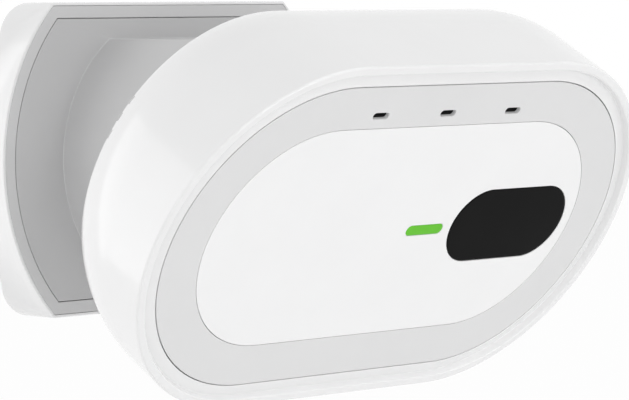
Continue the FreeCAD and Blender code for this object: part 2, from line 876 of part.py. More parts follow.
def make_hinge():
    """The tilt pin with its clips, friction washers and spring washer."""
    ends = (-(left_lug + S.lug_width), right_lug + S.lug_width)
    start, stop = ends[0] - S.pin_overhang, ends[1] + S.pin_overhang
    core = S.pin_radius - S.clip_groove
    gap = S.washer_gap
    grooves, clips = [], []
    for side, x0 in ((-1, ends[0] - S.clip_sheet - gap * 2), (1, ends[1])):
        groove = (x0, x0 + S.clip_sheet + gap * 2)
        grooves.append(subtract("pin_groove", rod("groove_disc", S.pin_radius + PAST, *groove),
                                [rod("groove_core", core, *groove)]))
        clips.append(subtract("pin_clip", rod("clip_disc", S.clip_radius, x0 + gap, x0 + gap + S.clip_sheet),
                              [rod("clip_bore", core + gap, x0 + gap, x0 + gap + S.clip_sheet)]))
    pin = subtract("hinge_pin", rod("pin_blank", S.pin_radius, start, stop), grooves)
    finish(pin, "hinge_pin", head=True)
    finish(group("pin_clips", clips), "pin_clips", head=True)
    inner = S.arm_half_width + gap
    pads = [washer("friction_washer", S.washer_radius, inner, inner + S.washer_sheet),
            washer("friction_washer", S.washer_radius, -(inner + S.washer_sheet), -inner)]
    finish(group("friction_washers", pads), "friction_washers", head=True)
    finish(washer("spring_washer", S.washer_radius, left_lug, left_lug + S.spring_washer_sheet),
           "spring_washer", head=True)


# Head casing

face = S.face_reach
deck_front = face - S.plates_sheet
deck_back = deck_front - S.deck_sheet
parting = face - S.parting_reach
back_radius = S.head_radius - S.head_taper
plates_radius = S.head_radius - S.face_margin
plate_radius = plates_radius - S.ring_width
board_radius = back_radius - S.head_wall - S.board_margin
window_side = S.head_straight + plate_radius - S.window_margin - S.window_radius - S.window_straight
light_side = (window_side - S.window_straight - S.window_radius - S.light_margin
              - S.light_straight - S.light_radius)
cover_back = parting - S.cover_depth
shell_start = cover_back - tangent(S.wedge_angle) * S.head_radius
lean = -S.wedge_angle
post_spots = corners(S.post_side, S.post_rise)
cover_spots = corners(S.cover_post_side, S.cover_post_rise)
front_board_front = deck_back - S.front_board_space
front_board_back = front_board_front - S.front_board_sheet
main_board_back = S.main_board_reach
main_board_front = main_board_back + S.main_board_sheet
port_spots = [(S.port_pitch * i, plate_radius + S.port_margin) for i in (-1, 0, 1)]
inlet_spot = (-S.inlet_side, -S.inlet_drop)
button_spot = (S.inlet_side, -S.inlet_drop)


def cover_station(z, inward=ZERO):
    """Where the cover's leaning back face is at a height, or a plane a step inside it."""
    return cover_back - tangent(S.wedge_angle) * z + inward


def seat_station(z):
    """Where a cover screw's head bears."""
    return cover_station(z, S.screw_head_height + S.screw_sink)


def shell_radius(station):
    """The casing's outer end radius at a station, between its back and its front."""
    share = (station - shell_start) / (face + S.lip_height - shell_start)
    return back_radius + S.head_taper * share


def make_head_shell():
    """The white head casing: a racetrack tube with a raised lip and a sloping moat in front."""
    straight, rim = S.head_straight, face + S.lip_height
    behind = shell_start - S.head_radius
    body = new_body("head_body")
    loft(body, stadium(straight, back_radius), shell_start, stadium(straight, S.head_radius), rim)
    take(body, rectangle(S.head_radius * 2, S.head_radius * 2), behind, parting, lean=lean)
    floor = rim - S.moat_depth
    inner = S.head_radius - S.lip_width
    loft(body, stadium(straight, inner), rim, stadium(straight, inner - S.lip_slope), floor, cut=True)
    seat = plates_radius + S.plates_gap
    loft(body, stadium(straight, inner - S.lip_slope), floor,
         stadium(straight, seat + S.moat_land), face)
    take(body, stadium(straight, seat), deck_front, face)
    take(body, stadium(straight, back_radius - S.head_wall), behind, deck_back)
    for x, z in post_spots:
        add(body, circle(S.post_shoulder), front_board_front, deck_back, x, z)
        add(body, circle(S.post_radius), main_board_front + S.post_foot, front_board_front, x, z)
    for x, z in cover_spots:
        add(body, circle(S.cover_post_radius), seat_station(z) + S.seat_floor, deck_back, x, z)
    take(body, stadium(S.window_straight, S.window_radius - S.window_ledge), deck_back, deck_front,
         x=window_side)
    take(body, stadium(S.light_straight, S.light_radius + S.light_gap), deck_back, deck_front,
         x=light_side)
    for x, z in port_spots:
        take(body, stadium(S.port_straight, S.port_radius), deck_back, deck_front, x, z)
    tools = stubs("head_board_hole", S.screw_radius, main_board_front,
                  main_board_front + S.board_thread + S.thread_end, post_spots)
    tools += [stub("head_cover_hole", S.screw_radius, seat_station(z),
                   seat_station(z) + S.cover_thread + S.thread_end, x, z) for x, z in cover_spots]
    finish(subtract("head_shell", body, tools), "head_shell", head=True)


def make_face():
    """The grey ring plate, the white centre plate, the dark window and the light bar."""
    straight = S.head_straight
    body = plate("face_ring_body", stadium(straight, plates_radius), deck_front, face)
    take(body, stadium(straight, plate_radius + S.plate_gap), deck_front, face)
    for x, z in port_spots:
        take(body, stadium(S.port_straight, S.port_radius), deck_front, face, x, z)
    finish(body, "face_ring", head=True)
    body = plate("face_plate_body", stadium(straight, plate_radius), deck_front, face)
    take(body, stadium(S.window_straight, S.window_radius + S.window_gap), deck_front, face,
         x=window_side)
    take(body, stadium(S.light_straight, S.light_radius + S.light_gap), deck_front, face,
         x=light_side)
    finish(body, "face_plate", head=True)
    sheet_back = face - S.window_sheet
    finish(plate("window_body", stadium(S.window_straight, S.window_radius), sheet_back, face,
                 x=window_side), "window", head=True)
    body = plate("window_seal_body", stadium(S.window_straight, S.window_radius), deck_front, sheet_back,
                 x=window_side)
    take(body, stadium(S.window_straight, S.window_radius - S.window_ledge), deck_front, sheet_back,
         x=window_side)
    finish(body, "window_seal", head=True)
    body = plate("light_body", stadium(S.light_straight, S.light_radius), deck_back, face,
                 x=light_side)
    add(body, stadium(S.light_straight, S.light_radius + S.light_flange),
        front_board_front + S.light_stand, deck_back, x=light_side)
    finish(body, "light_guide", head=True)


def dish(name, radius, back, curve, edge):
    """A racetrack-shaped dish: its side curves in from the parting plane to a flat leaning back."""
    body = new_body(name)
    floor = parting - curve - PAST
    add(body, stadium(S.head_straight, radius), floor, parting, lean=lean)
    round_edges(body, curve, lambda middle: on_rim(middle, floor))
    take(body, rectangle(S.head_radius * 2, S.head_radius * 2), floor - S.head_radius, back, lean=lean)
    round_edges(body, edge, lambda middle: on_rim(middle, back))
    return body


def make_back_cover():
    """The leaning rear cover with the hollow drum, its pin lugs, vents and screw seats."""
    half = S.drum_half_width
    drum = new_body("drum_body")
    add_across(drum, circle(S.drum_radius), -half, half)
    hollow = circle(S.drum_radius - S.drum_wall)
    take_across(drum, hollow, -(half - S.drum_wall), -(left_lug + S.lug_width))
    take_across(drum, hollow, -left_lug, right_lug)
    take_across(drum, hollow, right_lug + S.lug_width, half - S.drum_wall)
    take(drum, rectangle(half * 2, half * 2), cover_back + S.cover_wall / 2, pivot, lean=lean)
    casing = dish("cover_casing", shell_radius(parting), cover_back, S.cover_round, S.cover_edge)
    room = dish("cover_room", back_radius - S.head_wall, cover_back + S.cover_wall,
                S.cover_round - S.cover_wall, S.cover_edge / 2)
    shell = fuse("cover_shell", [drum, subtract("cover_hollow", casing, [room])])
    width, height = S.opening_half_width, S.opening_half_height
    opening = block("cover_opening", -width, width, cover_back - S.cover_wall, parting, -height, height)
    solids = [subtract("cover_opened", shell, [opening])]
    for x0, x1 in ((-(left_lug + S.lug_width), -left_lug), (right_lug, right_lug + S.lug_width)):
        solids.append(block("pin_lug", x0, x1, -S.lug_back, S.lug_front, -S.lug_half_height,
                            S.lug_half_height))
    for x, z in cover_spots:
        solids.append(stub("cover_post", S.cover_post_radius, cover_station(z, S.cover_wall / 2),
                           seat_station(z) + S.seat_floor - S.cover_post_split, x, z))
    slot = S.arm_half_width + S.arm_gap
    tools = [rod("lug_bore", pin_bore, -width, width),
             block("arm_slot", -slot, slot, -(S.drum_radius + PAST), ZERO, -S.slot_low, S.slot_high)]
    tools += [stub("cover_screw_hole", screw_hole, seat_station(z) - PAST,
                   seat_station(z) + S.seat_floor + PAST, x, z) for x, z in cover_spots]
    tools += [stub("cover_screw_seat", S.screw_head_radius + S.seat_clearance,
                   cover_station(z) - S.screw_head_height, seat_station(z), x, z)
              for x, z in cover_spots]
    tools.append(plate("cover_inlet_hole", stadium(S.inlet_straight, S.inlet_radius + S.button_gap),
                       shell_start, parting, *inlet_spot))
    tools.append(stub("cover_button_hole", S.button_radius + S.button_gap, shell_start, parting,
                      *button_spot))
    for step in range(int(S.vent_count.number)):
        angle = S.vent_start.number + S.vent_step.number * step
        tools += [vent_slot(turn) for turn in (angle, -angle, 180.0 - angle, 180.0 + angle)]
    finish(subtract("back_cover", fuse("cover_solid", solids), tools), "back_cover", head=True)


def on_rim(middle, station):
    """Whether an edge's middle lies on a leaning plane through a station."""
    return abs(-middle.y - value(station) + value(tangent(S.wedge_angle)) * middle.z) < 0.05


def vent_slot(turn):
    """A thin cut into the cover's curved side, square to the surface there."""
    angle = math.radians(turn)
    outward = Vector(math.cos(angle), 0, math.sin(angle))
    along = Vector(math.sin(angle), 0, -math.cos(angle))
    forward = Vector(0, -1, 0)
    rise, share = value(sine(S.vent_turn)), value(cosine(S.vent_turn))
    inward = forward * rise - outward * share
    across = forward * share + outward * rise
    radius = value(shell_radius(parting) - S.cover_round) + value(S.cover_round) * share
    z = radius * outward.z
    station = value(cover_station(ZERO + z, S.cover_depth)) - value(S.cover_round) * rise
    mouth = Vector(math.copysign(value(S.head_straight), outward.x) + radius * outward.x, -station, z)
    slot = doc.addObject("Part::Box", "vent_slot")
    for side, size in (("Length", S.vent_length), ("Width", S.vent_height), ("Height", S.cover_wall * 3)):
        setattr(slot, side, value(size))
        slot.setExpression(side, text(size))
    corner = mouth - (along * value(S.vent_length) + across * value(S.vent_height)) / 2
    corner -= inward * value(S.vent_lead)
    slot.Placement = Placement(corner, Rotation(along, across, inward, "XYZ"))
    return slot


def make_boards():
    """The two circuit boards, stacked on the casing's posts, with their spacers and screws."""
    outline = stadium(S.head_straight, board_radius)
    cover_holes = S.cover_post_radius + S.post_gap
    front = plate("front_board_blank", outline, front_board_back, front_board_front)
    tools = stubs("front_post_hole", S.post_radius + S.post_gap, front_board_back - PAST,
                  front_board_front + PAST, post_spots)
    tools += stubs("front_cover_hole", cover_holes, front_board_back - PAST, front_board_front + PAST,
                   cover_spots)
    finish(subtract("front_board", front, tools), "front_board", head=True)
    main = plate("main_board_blank", outline, main_board_back, main_board_front)
    tools = stubs("main_post_hole", screw_hole, main_board_back - PAST, main_board_front + PAST,
                  post_spots)
    tools += stubs("main_cover_hole", cover_holes, main_board_back - PAST, main_board_front + PAST,
                   cover_spots)
    finish(subtract("main_board", main, tools), "main_board", head=True)
    bore = S.post_radius + S.post_gap
    spacers = [ring("spacer", bore + S.spacer_wall, bore, main_board_front, front_board_back, x, z)
               for x, z in post_spots]
    finish(group("board_spacers", spacers), "board_spacers", head=True)
    screws = [screw("board_screw", main_board_back - S.screw_head_height,
                    S.main_board_sheet + S.board_thread, x, z) for x, z in post_spots]
    finish(group("board_screws", screws), "board_screws", head=True)
    screws = [screw("cover_screw", seat_station(z) - S.screw_head_height, S.cover_thread, x, z)
              for x, z in cover_spots]
    finish(group("cover_screws", screws), "cover_screws", head=True)


def chip(name, x, z, half_width, half_height, back, front):
    """A flat rectangular part, centred at x and z."""
    return block(name, x - half_width, x + half_width, back, front, z - half_height, z + half_height)


def make_front_electronics():
    """What the front board carries: radar, microphones, indicator and the optics at the window."""
    board = front_board_front
    deck = deck_back
    radar = -S.radar_side
    patches = [chip("patch", radar + S.patch_pitch * i, S.patch_pitch * j, S.patch_half, S.patch_half,
                    board, board + S.patch_sheet) for i in (-1, 0, 1, 2) for j in (-1, 0, 1)]
    finish(group("antenna_patches", patches), "antenna_patches", head=True)
    back = front_board_back
    finish(chip("radar_chip", radar, ZERO, S.radar_half, S.radar_half, back - S.chip_sheet, back),
           "radar_chip", head=True)
    pad_back = back - S.chip_sheet - S.pad_sheet
    finish(chip("thermal_pad", radar, ZERO, S.radar_half, S.radar_half, pad_back, back - S.chip_sheet),
           "thermal_pad", head=True)
    finish(chip("heat_spreader", radar, ZERO, S.spreader_half_width, S.spreader_half_height,
                pad_back - S.spreader_sheet, pad_back), "heat_spreader", head=True)
    mics = [chip("microphone", x, z, S.mic_half_width, S.mic_half_height, board, board + S.mic_height)
            for x, z in port_spots]
    finish(group("microphones", mics), "microphones", head=True)
    seals = [ring("port_seal", S.port_seal_radius, S.port_radius, board + S.mic_height, deck, x, z)
             for x, z in port_spots]
    finish(group("port_seals", seals), "port_seals", head=True)
    finish(chip("indicator_led", light_side, ZERO, S.led_half_width, S.led_half_height, board,
                board + S.led_height), "indicator_led", head=True)
    eye = window_side - S.sensor_offset
    body = chip("sensor_base", eye, ZERO, S.sensor_half, S.sensor_half, board, deck)
    tube = stub("sensor_barrel", S.sensor_barrel, deck, deck_front - S.sensor_sink, eye)
    floor = deck + S.sensor_floor
    bore = stub("sensor_bore", S.sensor_lens + S.fit_gap, floor, deck_front, eye)
    finish(subtract("optical_sensor", fuse("sensor_solid", [body, tube]), [bore]), "optical_sensor",
           head=True)
    finish(stub("sensor_lens", S.sensor_lens, floor, deck_front - S.lens_sink, eye), "sensor_lens",
           head=True)
    lamps = []
    for x in (window_side + S.emitter_near, window_side + S.emitter_far):
        top = board + S.emitter_base
        lamps.append(fuse("emitter", [
            chip("emitter_base", x, ZERO, S.emitter_half, S.emitter_half, board, top),
            stub("emitter_dome", S.emitter_radius, top, board + S.emitter_height, x),
        ]))
    finish(group("infrared_emitters", lamps), "infrared_emitters", head=True)


def make_main_electronics():
    """What the main board carries: processor, radio, capacitors, board link, inlet and switch."""
    board, under = main_board_front, main_board_back
    x, z = -S.shield_side, -S.shield_drop
    blank = chip("can_blank", x, z, S.shield_half_width, S.shield_half_height, board,
                 board + S.shield_height)
    room = chip("can_room", x, z, S.shield_half_width - S.shield_wall,
                S.shield_half_height - S.shield_wall, board - PAST,
                board + S.shield_height - S.shield_wall)
    finish(subtract("shield_can", blank, [room]), "shield_can", head=True)
    finish(chip("processor", x, z, S.radar_half, S.radar_half, board, board + S.chip_sheet), "processor",
           head=True)
    finish(chip("radio_module", S.radio_side, S.shield_drop, S.radio_half, S.radio_half, board,
                board + S.shield_height), "radio_module", head=True)
    finish(chip("board_link", S.link_side, -S.link_drop, S.link_half_width, S.link_half_height, board,
                front_board_back), "board_link", head=True)
    caps = [stub("capacitor", S.capacitor_radius, board, board + S.capacitor_height,
                 -S.capacitor_side, S.capacitor_pitch * i) for i in (-1, 0, 1)]
    finish(group("capacitors", caps), "capacitors", head=True)
    ix, iz = inlet_spot
    mouth = cover_station(iz, S.inlet_sink)
    case = plate("inlet_case", stadium(S.inlet_straight, S.inlet_radius), mouth, under, ix, iz)
    room = plate("inlet_room", stadium(S.inlet_straight, S.inlet_radius - S.inlet_wall), mouth - PAST,
                 under - S.inlet_floor, ix, iz)
    tongue = chip("inlet_tongue", ix, iz, S.inlet_straight, S.inlet_wall / 2, mouth + S.inlet_floor,
                  under - S.inlet_floor / 2)
    shell = subtract("inlet_shell", case, [room])
    finish(fuse("power_inlet", [shell, tongue]), "power_inlet", head=True)
    bx, bz = button_spot
    flange_back = cover_station(bz - S.button_flange, S.cover_wall + S.button_rest)
    flange_front = flange_back + S.button_sheet
    button = fuse("reset_button", [
        stub("button_cap", S.button_radius, cover_station(bz, S.button_sink), flange_front, bx, bz),
        stub("button_flange", S.button_flange, flange_back, flange_front, bx, bz),
    ])
    finish(button, "reset_button", head=True)
    tip = flange_front + S.button_travel + S.pin_gap
    root_back = tip + S.switch_height
    switch = fuse("button_switch", [
        chip("switch_base", bx, bz, S.switch_half, S.switch_half, root_back, under),
        stub("switch_tip", S.switch_radius, tip, root_back, bx, bz),
    ])
    finish(switch, "button_switch", head=True)


def write_parts():
    """Checks every object and writes one file for each piece."""
    doc.recompute()
    for thing in doc.Objects:
        if "Invalid" in thing.State or "Error" in thing.State:
            raise RuntimeError("failed object: %s" % thing.Label)
    os.makedirs("parts", exist_ok=True)
    for name, thing in parts.items():
        shape = thing.Shape
        if shape.isNull() or not shape.isValid():
            raise RuntimeError("bad shape: %s" % name)
        shape.exportStep(os.path.join("parts", name + ".step"))
        print(name, len(shape.Solids), round(shape.Volume, 2))


make_wall_bracket()
make_base_shell()
make_rim_ring()
make_neck_housing()
make_cable_door()
make_base_screws()
make_tilt_arm()
make_hinge()
make_head_shell()
make_face()
make_back_cover()
make_boards()
make_front_electronics()
make_main_electronics()
write_parts()
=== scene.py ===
"""Looks of the wall-mounted presence sensor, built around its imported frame.

Sizes are in millimetres and are turned to metres where a mesh is made. A station is a distance
forward, towards the viewer: from the wall on the base, and from the tilt axis on the head.
"""

import json
import logging
import math
from dataclasses import dataclass, field
from enum import Enum
from typing import Callable, Sequence

import bmesh
import bpy
from mathutils import Matrix, Vector


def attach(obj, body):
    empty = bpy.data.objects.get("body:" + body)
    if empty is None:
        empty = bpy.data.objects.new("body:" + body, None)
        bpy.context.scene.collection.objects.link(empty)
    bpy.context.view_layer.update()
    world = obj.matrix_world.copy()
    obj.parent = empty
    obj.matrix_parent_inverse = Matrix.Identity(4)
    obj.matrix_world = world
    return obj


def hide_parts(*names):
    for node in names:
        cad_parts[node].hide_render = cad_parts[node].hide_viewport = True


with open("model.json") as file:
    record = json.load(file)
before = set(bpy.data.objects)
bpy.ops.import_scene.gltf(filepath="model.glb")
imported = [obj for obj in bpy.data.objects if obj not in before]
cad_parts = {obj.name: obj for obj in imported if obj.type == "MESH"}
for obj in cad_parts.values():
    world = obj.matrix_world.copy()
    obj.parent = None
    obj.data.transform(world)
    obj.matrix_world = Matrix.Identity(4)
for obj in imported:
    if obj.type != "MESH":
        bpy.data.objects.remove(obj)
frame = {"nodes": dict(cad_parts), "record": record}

MM = 0.001
Point = tuple[float, float]
Ring = list[Vector]
Outline = Callable[[float], list[Point]]
Piece = bpy.types.Object
PAST = 1.0  # how far a cutting tool runs past the face that it cuts
SHARP_ANGLE = 35.0  # degrees above which a finished edge stays sharp
log = logging.getLogger("presence_sensor")


class Ends(Enum):
    """How a row of rings ends."""

    FLAT = "closed with a flat face at each end"
    JOINED = "the last ring joins the first"


# Finishes


COAT_ROUGHNESS = 0.08
DRIFT_SCALE = 60.0  # the colour's drift, per metre
DRIFT_STOPS = (0.35, 0.65)  # where the drift is darkest and lightest
POLISH = (0.88, 1.12)  # the least and greatest share of the mean roughness


@dataclass(frozen=True)
class Moulded:
    """A moulded plastic: a colour with faint mottling, and a fine spark-eroded grain.

    Attributes:
        name: The material's name.
        colour: Linear red, green and blue.
        roughness: The mean roughness.
        grain: The size of the grain, in millimetres.
        bump: The depth of the grain, in millimetres.
        coat: The weight of the clear top layer.
        mottle: How far the colour drifts, as a share of itself.
        specular: The strength of the reflection at a right angle.
        glow: The strength of the light it gives off in its own colour.
        metallic: One for bare metal, and nought for all else.
        slot: The part's material slot, where that has another name.
    """

    name: str
    colour: tuple[float, float, float]
    roughness: float = 0.4
    grain: float = 0.35
    bump: float = 0.004
    coat: float = 0.0
    mottle: float = 0.02
    specular: float = 0.5
    glow: float = 0.0
    metallic: float = 0.0
    slot: str = ""

    def build(self) -> bpy.types.Material:
        """Makes the node material, or returns it if it is there already.

        Returns:
            The finish's own material, which is one for all of its pieces.
        """
        own_name = self.name + "_finish"
        known = bpy.data.materials.get(own_name)
        if known is not None:
            return known
        material = bpy.data.materials.new(own_name)
        material.use_nodes = True
        nodes, links = material.node_tree.nodes, material.node_tree.links
        shader = nodes["Principled BSDF"]
        shader.inputs["Metallic"].default_value = self.metallic
        shader.inputs["Specular IOR Level"].default_value = self.specular
        shader.inputs["Coat Weight"].default_value = self.coat
        shader.inputs["Coat Roughness"].default_value = COAT_ROUGHNESS
        place = nodes.new("ShaderNodeTexCoord")
        drift = nodes.new("ShaderNodeTexNoise")
        drift.inputs["Scale"].default_value = DRIFT_SCALE
        drift.inputs["Detail"].default_value = 3.0
        links.new(place.outputs["Object"], drift.inputs["Vector"])
        tint = nodes.new("ShaderNodeValToRGB")
        drifts = (-self.mottle, self.mottle)
        for stop, spot, share in zip(tint.color_ramp.elements, DRIFT_STOPS, drifts):
            stop.position = spot
            stop.color = (*(min(1.0, c * (1.0 + share)) for c in self.colour), 1.0)
        links.new(drift.outputs["Fac"], tint.inputs["Fac"])
        links.new(tint.outputs["Color"], shader.inputs["Base Color"])
        grain = nodes.new("ShaderNodeTexNoise")
        grain.inputs["Scale"].default_value = 1.0 / (self.grain * MM)
        grain.inputs["Detail"].default_value = 2.0
        links.new(place.outputs["Object"], grain.inputs["Vector"])
        polish = nodes.new("ShaderNodeMapRange")
        polish.inputs["To Min"].default_value = self.roughness * POLISH[0]
        polish.inputs["To Max"].default_value = min(1.0, self.roughness * POLISH[1])
        links.new(grain.outputs["Fac"], polish.inputs["Value"])
        links.new(polish.outputs["Result"], shader.inputs["Roughness"])
        bump = nodes.new("ShaderNodeBump")
        bump.inputs["Strength"].default_value = 1.0
        bump.inputs["Distance"].default_value = self.bump * MM
        links.new(grain.outputs["Fac"], bump.inputs["Height"])
        links.new(bump.outputs["Normal"], shader.inputs["Normal"])
        if self.glow > 0.0:
            shader.inputs["Emission Strength"].default_value = self.glow
            links.new(tint.outputs["Color"], shader.inputs["Emission Color"])
        return material


WHITE_SHELL = Moulded("white_shell", (0.87, 0.87, 0.872), roughness=0.24, coat=0.5, bump=0.001,
                      mottle=0.006)
WHITE_PLATE = Moulded("white_plate", (0.92, 0.92, 0.922), roughness=0.5, grain=0.3, bump=0.002,
                      mottle=0.006)
LIGHT_GREY = Moulded("light_grey", (0.76, 0.76, 0.762), roughness=0.5, grain=0.3, bump=0.003,
                     mottle=0.008)
# Painted light: the rim is the panel's mid grey, painted lighter to stand in for the light that falls
# on it.
RIM_GREY_PAINTED_LIGHT = Moulded("rim_grey_painted_light", (0.66, 0.66, 0.663), roughness=0.5, grain=0.3, mottle=0.008,
                   slot="mid_grey")
MID_GREY = Moulded("mid_grey", (0.57, 0.57, 0.573), roughness=0.5, grain=0.32, bump=0.005, mottle=0.01)
DARK_WINDOW = Moulded("dark_window", (0.007, 0.007, 0.007), roughness=0.22, grain=0.6, bump=0.0003,
                      specular=0.03, mottle=0.1)
GREEN_GUIDE = Moulded("green_guide", (0.13, 0.52, 0.03), roughness=0.35, specular=0.15,
                      glow=0.08, mottle=0.05)
BLACK_PLASTIC = Moulded("black_plastic", (0.022, 0.022, 0.024), roughness=0.45, mottle=0.1)
RUBBER = Moulded("rubber", (0.018, 0.018, 0.019), roughness=0.8, grain=0.5, mottle=0.1)
STEEL = Moulded("steel", (0.62, 0.63, 0.64), roughness=0.34, grain=0.15, bump=0.002, metallic=1.0,
                mottle=0.05)
SILVER_CAN = Moulded("silver_can", (0.66, 0.66, 0.65), roughness=0.3, grain=0.2, bump=0.002,
                     metallic=1.0, mottle=0.04)
COPPER = Moulded("copper", (0.80, 0.56, 0.24), roughness=0.28, metallic=1.0, bump=0.001)
BOARD = Moulded("board", (0.012, 0.10, 0.045), roughness=0.35, grain=0.25, coat=0.3, mottle=0.15)
LENS = Moulded("lens", (0.02, 0.015, 0.05), roughness=0.05, coat=1.0, bump=0.0001, mottle=0.1)
THERMAL = Moulded("thermal", (0.24, 0.30, 0.40), roughness=0.85, grain=0.5, bump=0.02)
ALUMINIUM = Moulded("aluminium", (0.72, 0.72, 0.73), roughness=0.38, grain=0.2, metallic=1.0,
                    bump=0.003)
FINISHES = {f.name: f for f in (
    WHITE_SHELL, WHITE_PLATE, LIGHT_GREY, RIM_GREY_PAINTED_LIGHT, MID_GREY, DARK_WINDOW, GREEN_GUIDE,
    BLACK_PLASTIC, RUBBER, STEEL, SILVER_CAN, COPPER, BOARD, LENS, THERMAL, ALUMINIUM,
)}


# Outlines, each a closed list of x and z points


ARC_STEPS = 56
STRAIGHT_STEPS = 14
CORNER_STEPS = 8
PORT_STEPS = 16
LIGHT_STEPS = 20
HOLE_STEPS = 40
DRUM_STEPS = 96
TUBE_STEPS = 128
CURVE_STEPS = 20
EDGE_STEPS = 8


def arc_points(centre: Point, radius: float, start: float, end: float, steps: int) -> list[Point]:
    """Points along an arc, without its last one.

    Args:
        centre: The arc's centre.
        radius: Its radius.
        start: The first angle, in degrees.
        end: The last angle, in degrees.
        steps: How many points to make.

    Returns:
        The points, from the first angle on.
    """
    turn = [math.radians(start + (end - start) * i / steps) for i in range(steps)]
    return [(centre[0] + radius * math.cos(a), centre[1] + radius * math.sin(a)) for a in turn]


def line_points(first: Point, last: Point, steps: int) -> list[Point]:
    """Points along a straight line, without its last one."""
    return [(first[0] + (last[0] - first[0]) * i / steps, first[1] + (last[1] - first[1]) * i / steps)
            for i in range(steps)]


def racetrack(half_straight: float, radius: float, x: float = 0.0, z: float = 0.0,
              arc_steps: int = ARC_STEPS) -> list[Point]:
    """A racetrack: two straight sides joined by half circles.

    Args:
        half_straight: Half the length of a straight side.
        radius: The radius of the ends.
        x: The centre's place to the right.
        z: The centre's height.
        arc_steps: How many points each end has.

    Returns:
        The points, once round.
    """
    a, r = half_straight, radius
    points = arc_points((x + a, z), r, -90, 90, arc_steps)
    points += line_points((x + a, z + r), (x - a, z + r), STRAIGHT_STEPS)
    points += arc_points((x - a, z), r, 90, 270, arc_steps)
    points += line_points((x - a, z - r), (x + a, z - r), STRAIGHT_STEPS)
    return points


def pillow(half_width: float, half_height: float, side_radius: float, corner: float) -> list[Point]:
    """A shape with flat top and bottom, sides on large arcs and rounded corners.

    Args:
        half_width: Half the width at mid-height.
        half_height: Half the height.
        side_radius: The radius of the sides.
        corner: The radius of the corners.

    Returns:
        The points, once round, as many for any sizes.
    """
    inner, level = side_radius - corner, half_height - corner
    side_x = half_width - side_radius
    corner_x = side_x + math.sqrt(inner * inner - level * level)
    lean = math.degrees(math.atan2(level, corner_x - side_x))
    points = arc_points((side_x, 0.0), side_radius, -lean, lean, ARC_STEPS)
    points += arc_points((corner_x, level), corner, lean, 90, CORNER_STEPS)
    points += line_points((corner_x, half_height), (-corner_x, half_height), STRAIGHT_STEPS)
    points += arc_points((-corner_x, level), corner, 90, 180 - lean, CORNER_STEPS)
    points += arc_points((-side_x, 0.0), side_radius, 180 - lean, 180 + lean, ARC_STEPS)
    points += arc_points((-corner_x, -level), corner, 180 + lean, 270, CORNER_STEPS)
    points += line_points((-corner_x, -half_height), (corner_x, -half_height), STRAIGHT_STEPS)
    points += arc_points((corner_x, -level), corner, 270, 360 - lean, CORNER_STEPS)
    return points


def quarter_turn(steps: int) -> list[Point]:
    """The inward and the remaining steps of a quarter round, as shares of its radius.

    Args:
        steps: How many faces the rounding has.

    Returns:
        One pair for each point of the rounding.
    """
    turns = [math.pi / 2 * k / steps for k in range(steps + 1)]
    return [(1 - math.cos(a), 1 - math.sin(a)) for a in turns]


def rounded_path(corners: Sequence[tuple[float, float, float]], steps: int = 6) -> list[Point]:
    """A section with its corners rounded.

    Args:
        corners: Each corner's outward place, station and rounding radius.
        steps: How many points each rounding has.

    Returns:
        The section's points, in order.
    """
    path: list[Point] = []
    for i, (r, s, rounding) in enumerate(corners):
        here = Vector((r, s))
        if rounding <= 0.0 or i in (0, len(corners) - 1):
            path.append((r, s))
            continue
        before = (Vector(corners[i - 1][:2]) - here).normalized()
        after = (Vector(corners[i + 1][:2]) - here).normalized()
        half = before.angle(after) / 2.0
        centre = here + (before + after).normalized() * (rounding / math.sin(half))
        first = here + before * (rounding / math.tan(half)) - centre
        last = here + after * (rounding / math.tan(half)) - centre
        sweep_angle = first.angle_signed(last)
        for k in range(steps + 1):
            spun = Matrix.Rotation(-sweep_angle * k / steps, 2) @ first
            path.append(tuple(centre + spun))
    return path


# Meshes


def sweep(name: str, rings: Sequence[Ring], ends: Ends = Ends.FLAT) -> Piece:
    """Joins rings of equal count into one closed surface.

    Args:
        name: The new piece's name.
        rings: The rings, in order, in metres.
        ends: How the row of rings ends.

    Returns:
        The new object, linked to the scene.
    """
    mesh = bmesh.new()
    rows = [[mesh.verts.new(p) for p in ring] for ring in rings]
    count = len(rows[0])
    pairs = list(zip(rows, rows[1:]))
    if ends is Ends.JOINED:
        pairs.append((rows[-1], rows[0]))
    for low, high in pairs:
        for i in range(count):
            j = (i + 1) % count
            mesh.faces.new((low[i], low[j], high[j], high[i]))
    if ends is Ends.FLAT:
        mesh.faces.new(rows[0])
        mesh.faces.new(rows[-1])
    bmesh.ops.remove_doubles(mesh, verts=mesh.verts, dist=1e-7)
    bmesh.ops.recalc_face_normals(mesh, faces=mesh.faces)
    data = bpy.data.meshes.new(name)
    mesh.to_mesh(data)
    mesh.free()
    piece = bpy.data.objects.new(name, data)
    bpy.context.scene.collection.objects.link(piece)
    return piece


def bake(piece: Piece) -> None:
    """Turns a piece's modifiers into its mesh.

    Args:
        piece: The piece to bake.
    """
    graph = bpy.context.evaluated_depsgraph_get()
    old = piece.data
    piece.data = bpy.data.meshes.new_from_object(piece.evaluated_get(graph))
    piece.modifiers.clear()
    bpy.data.meshes.remove(old)


def settle(piece: Piece) -> None:
    """Bakes a finished piece, and smooths all but its sharp edges.

    Args:
        piece: The piece to settle.
    """
    bake(piece)
    piece.data.name = piece.name
    piece.data.shade_smooth()
    piece.data.set_sharp_from_angle(angle=math.radians(SHARP_ANGLE))
    weigh = piece.modifiers.new("weighted", "WEIGHTED_NORMAL")
    weigh.keep_sharp = True


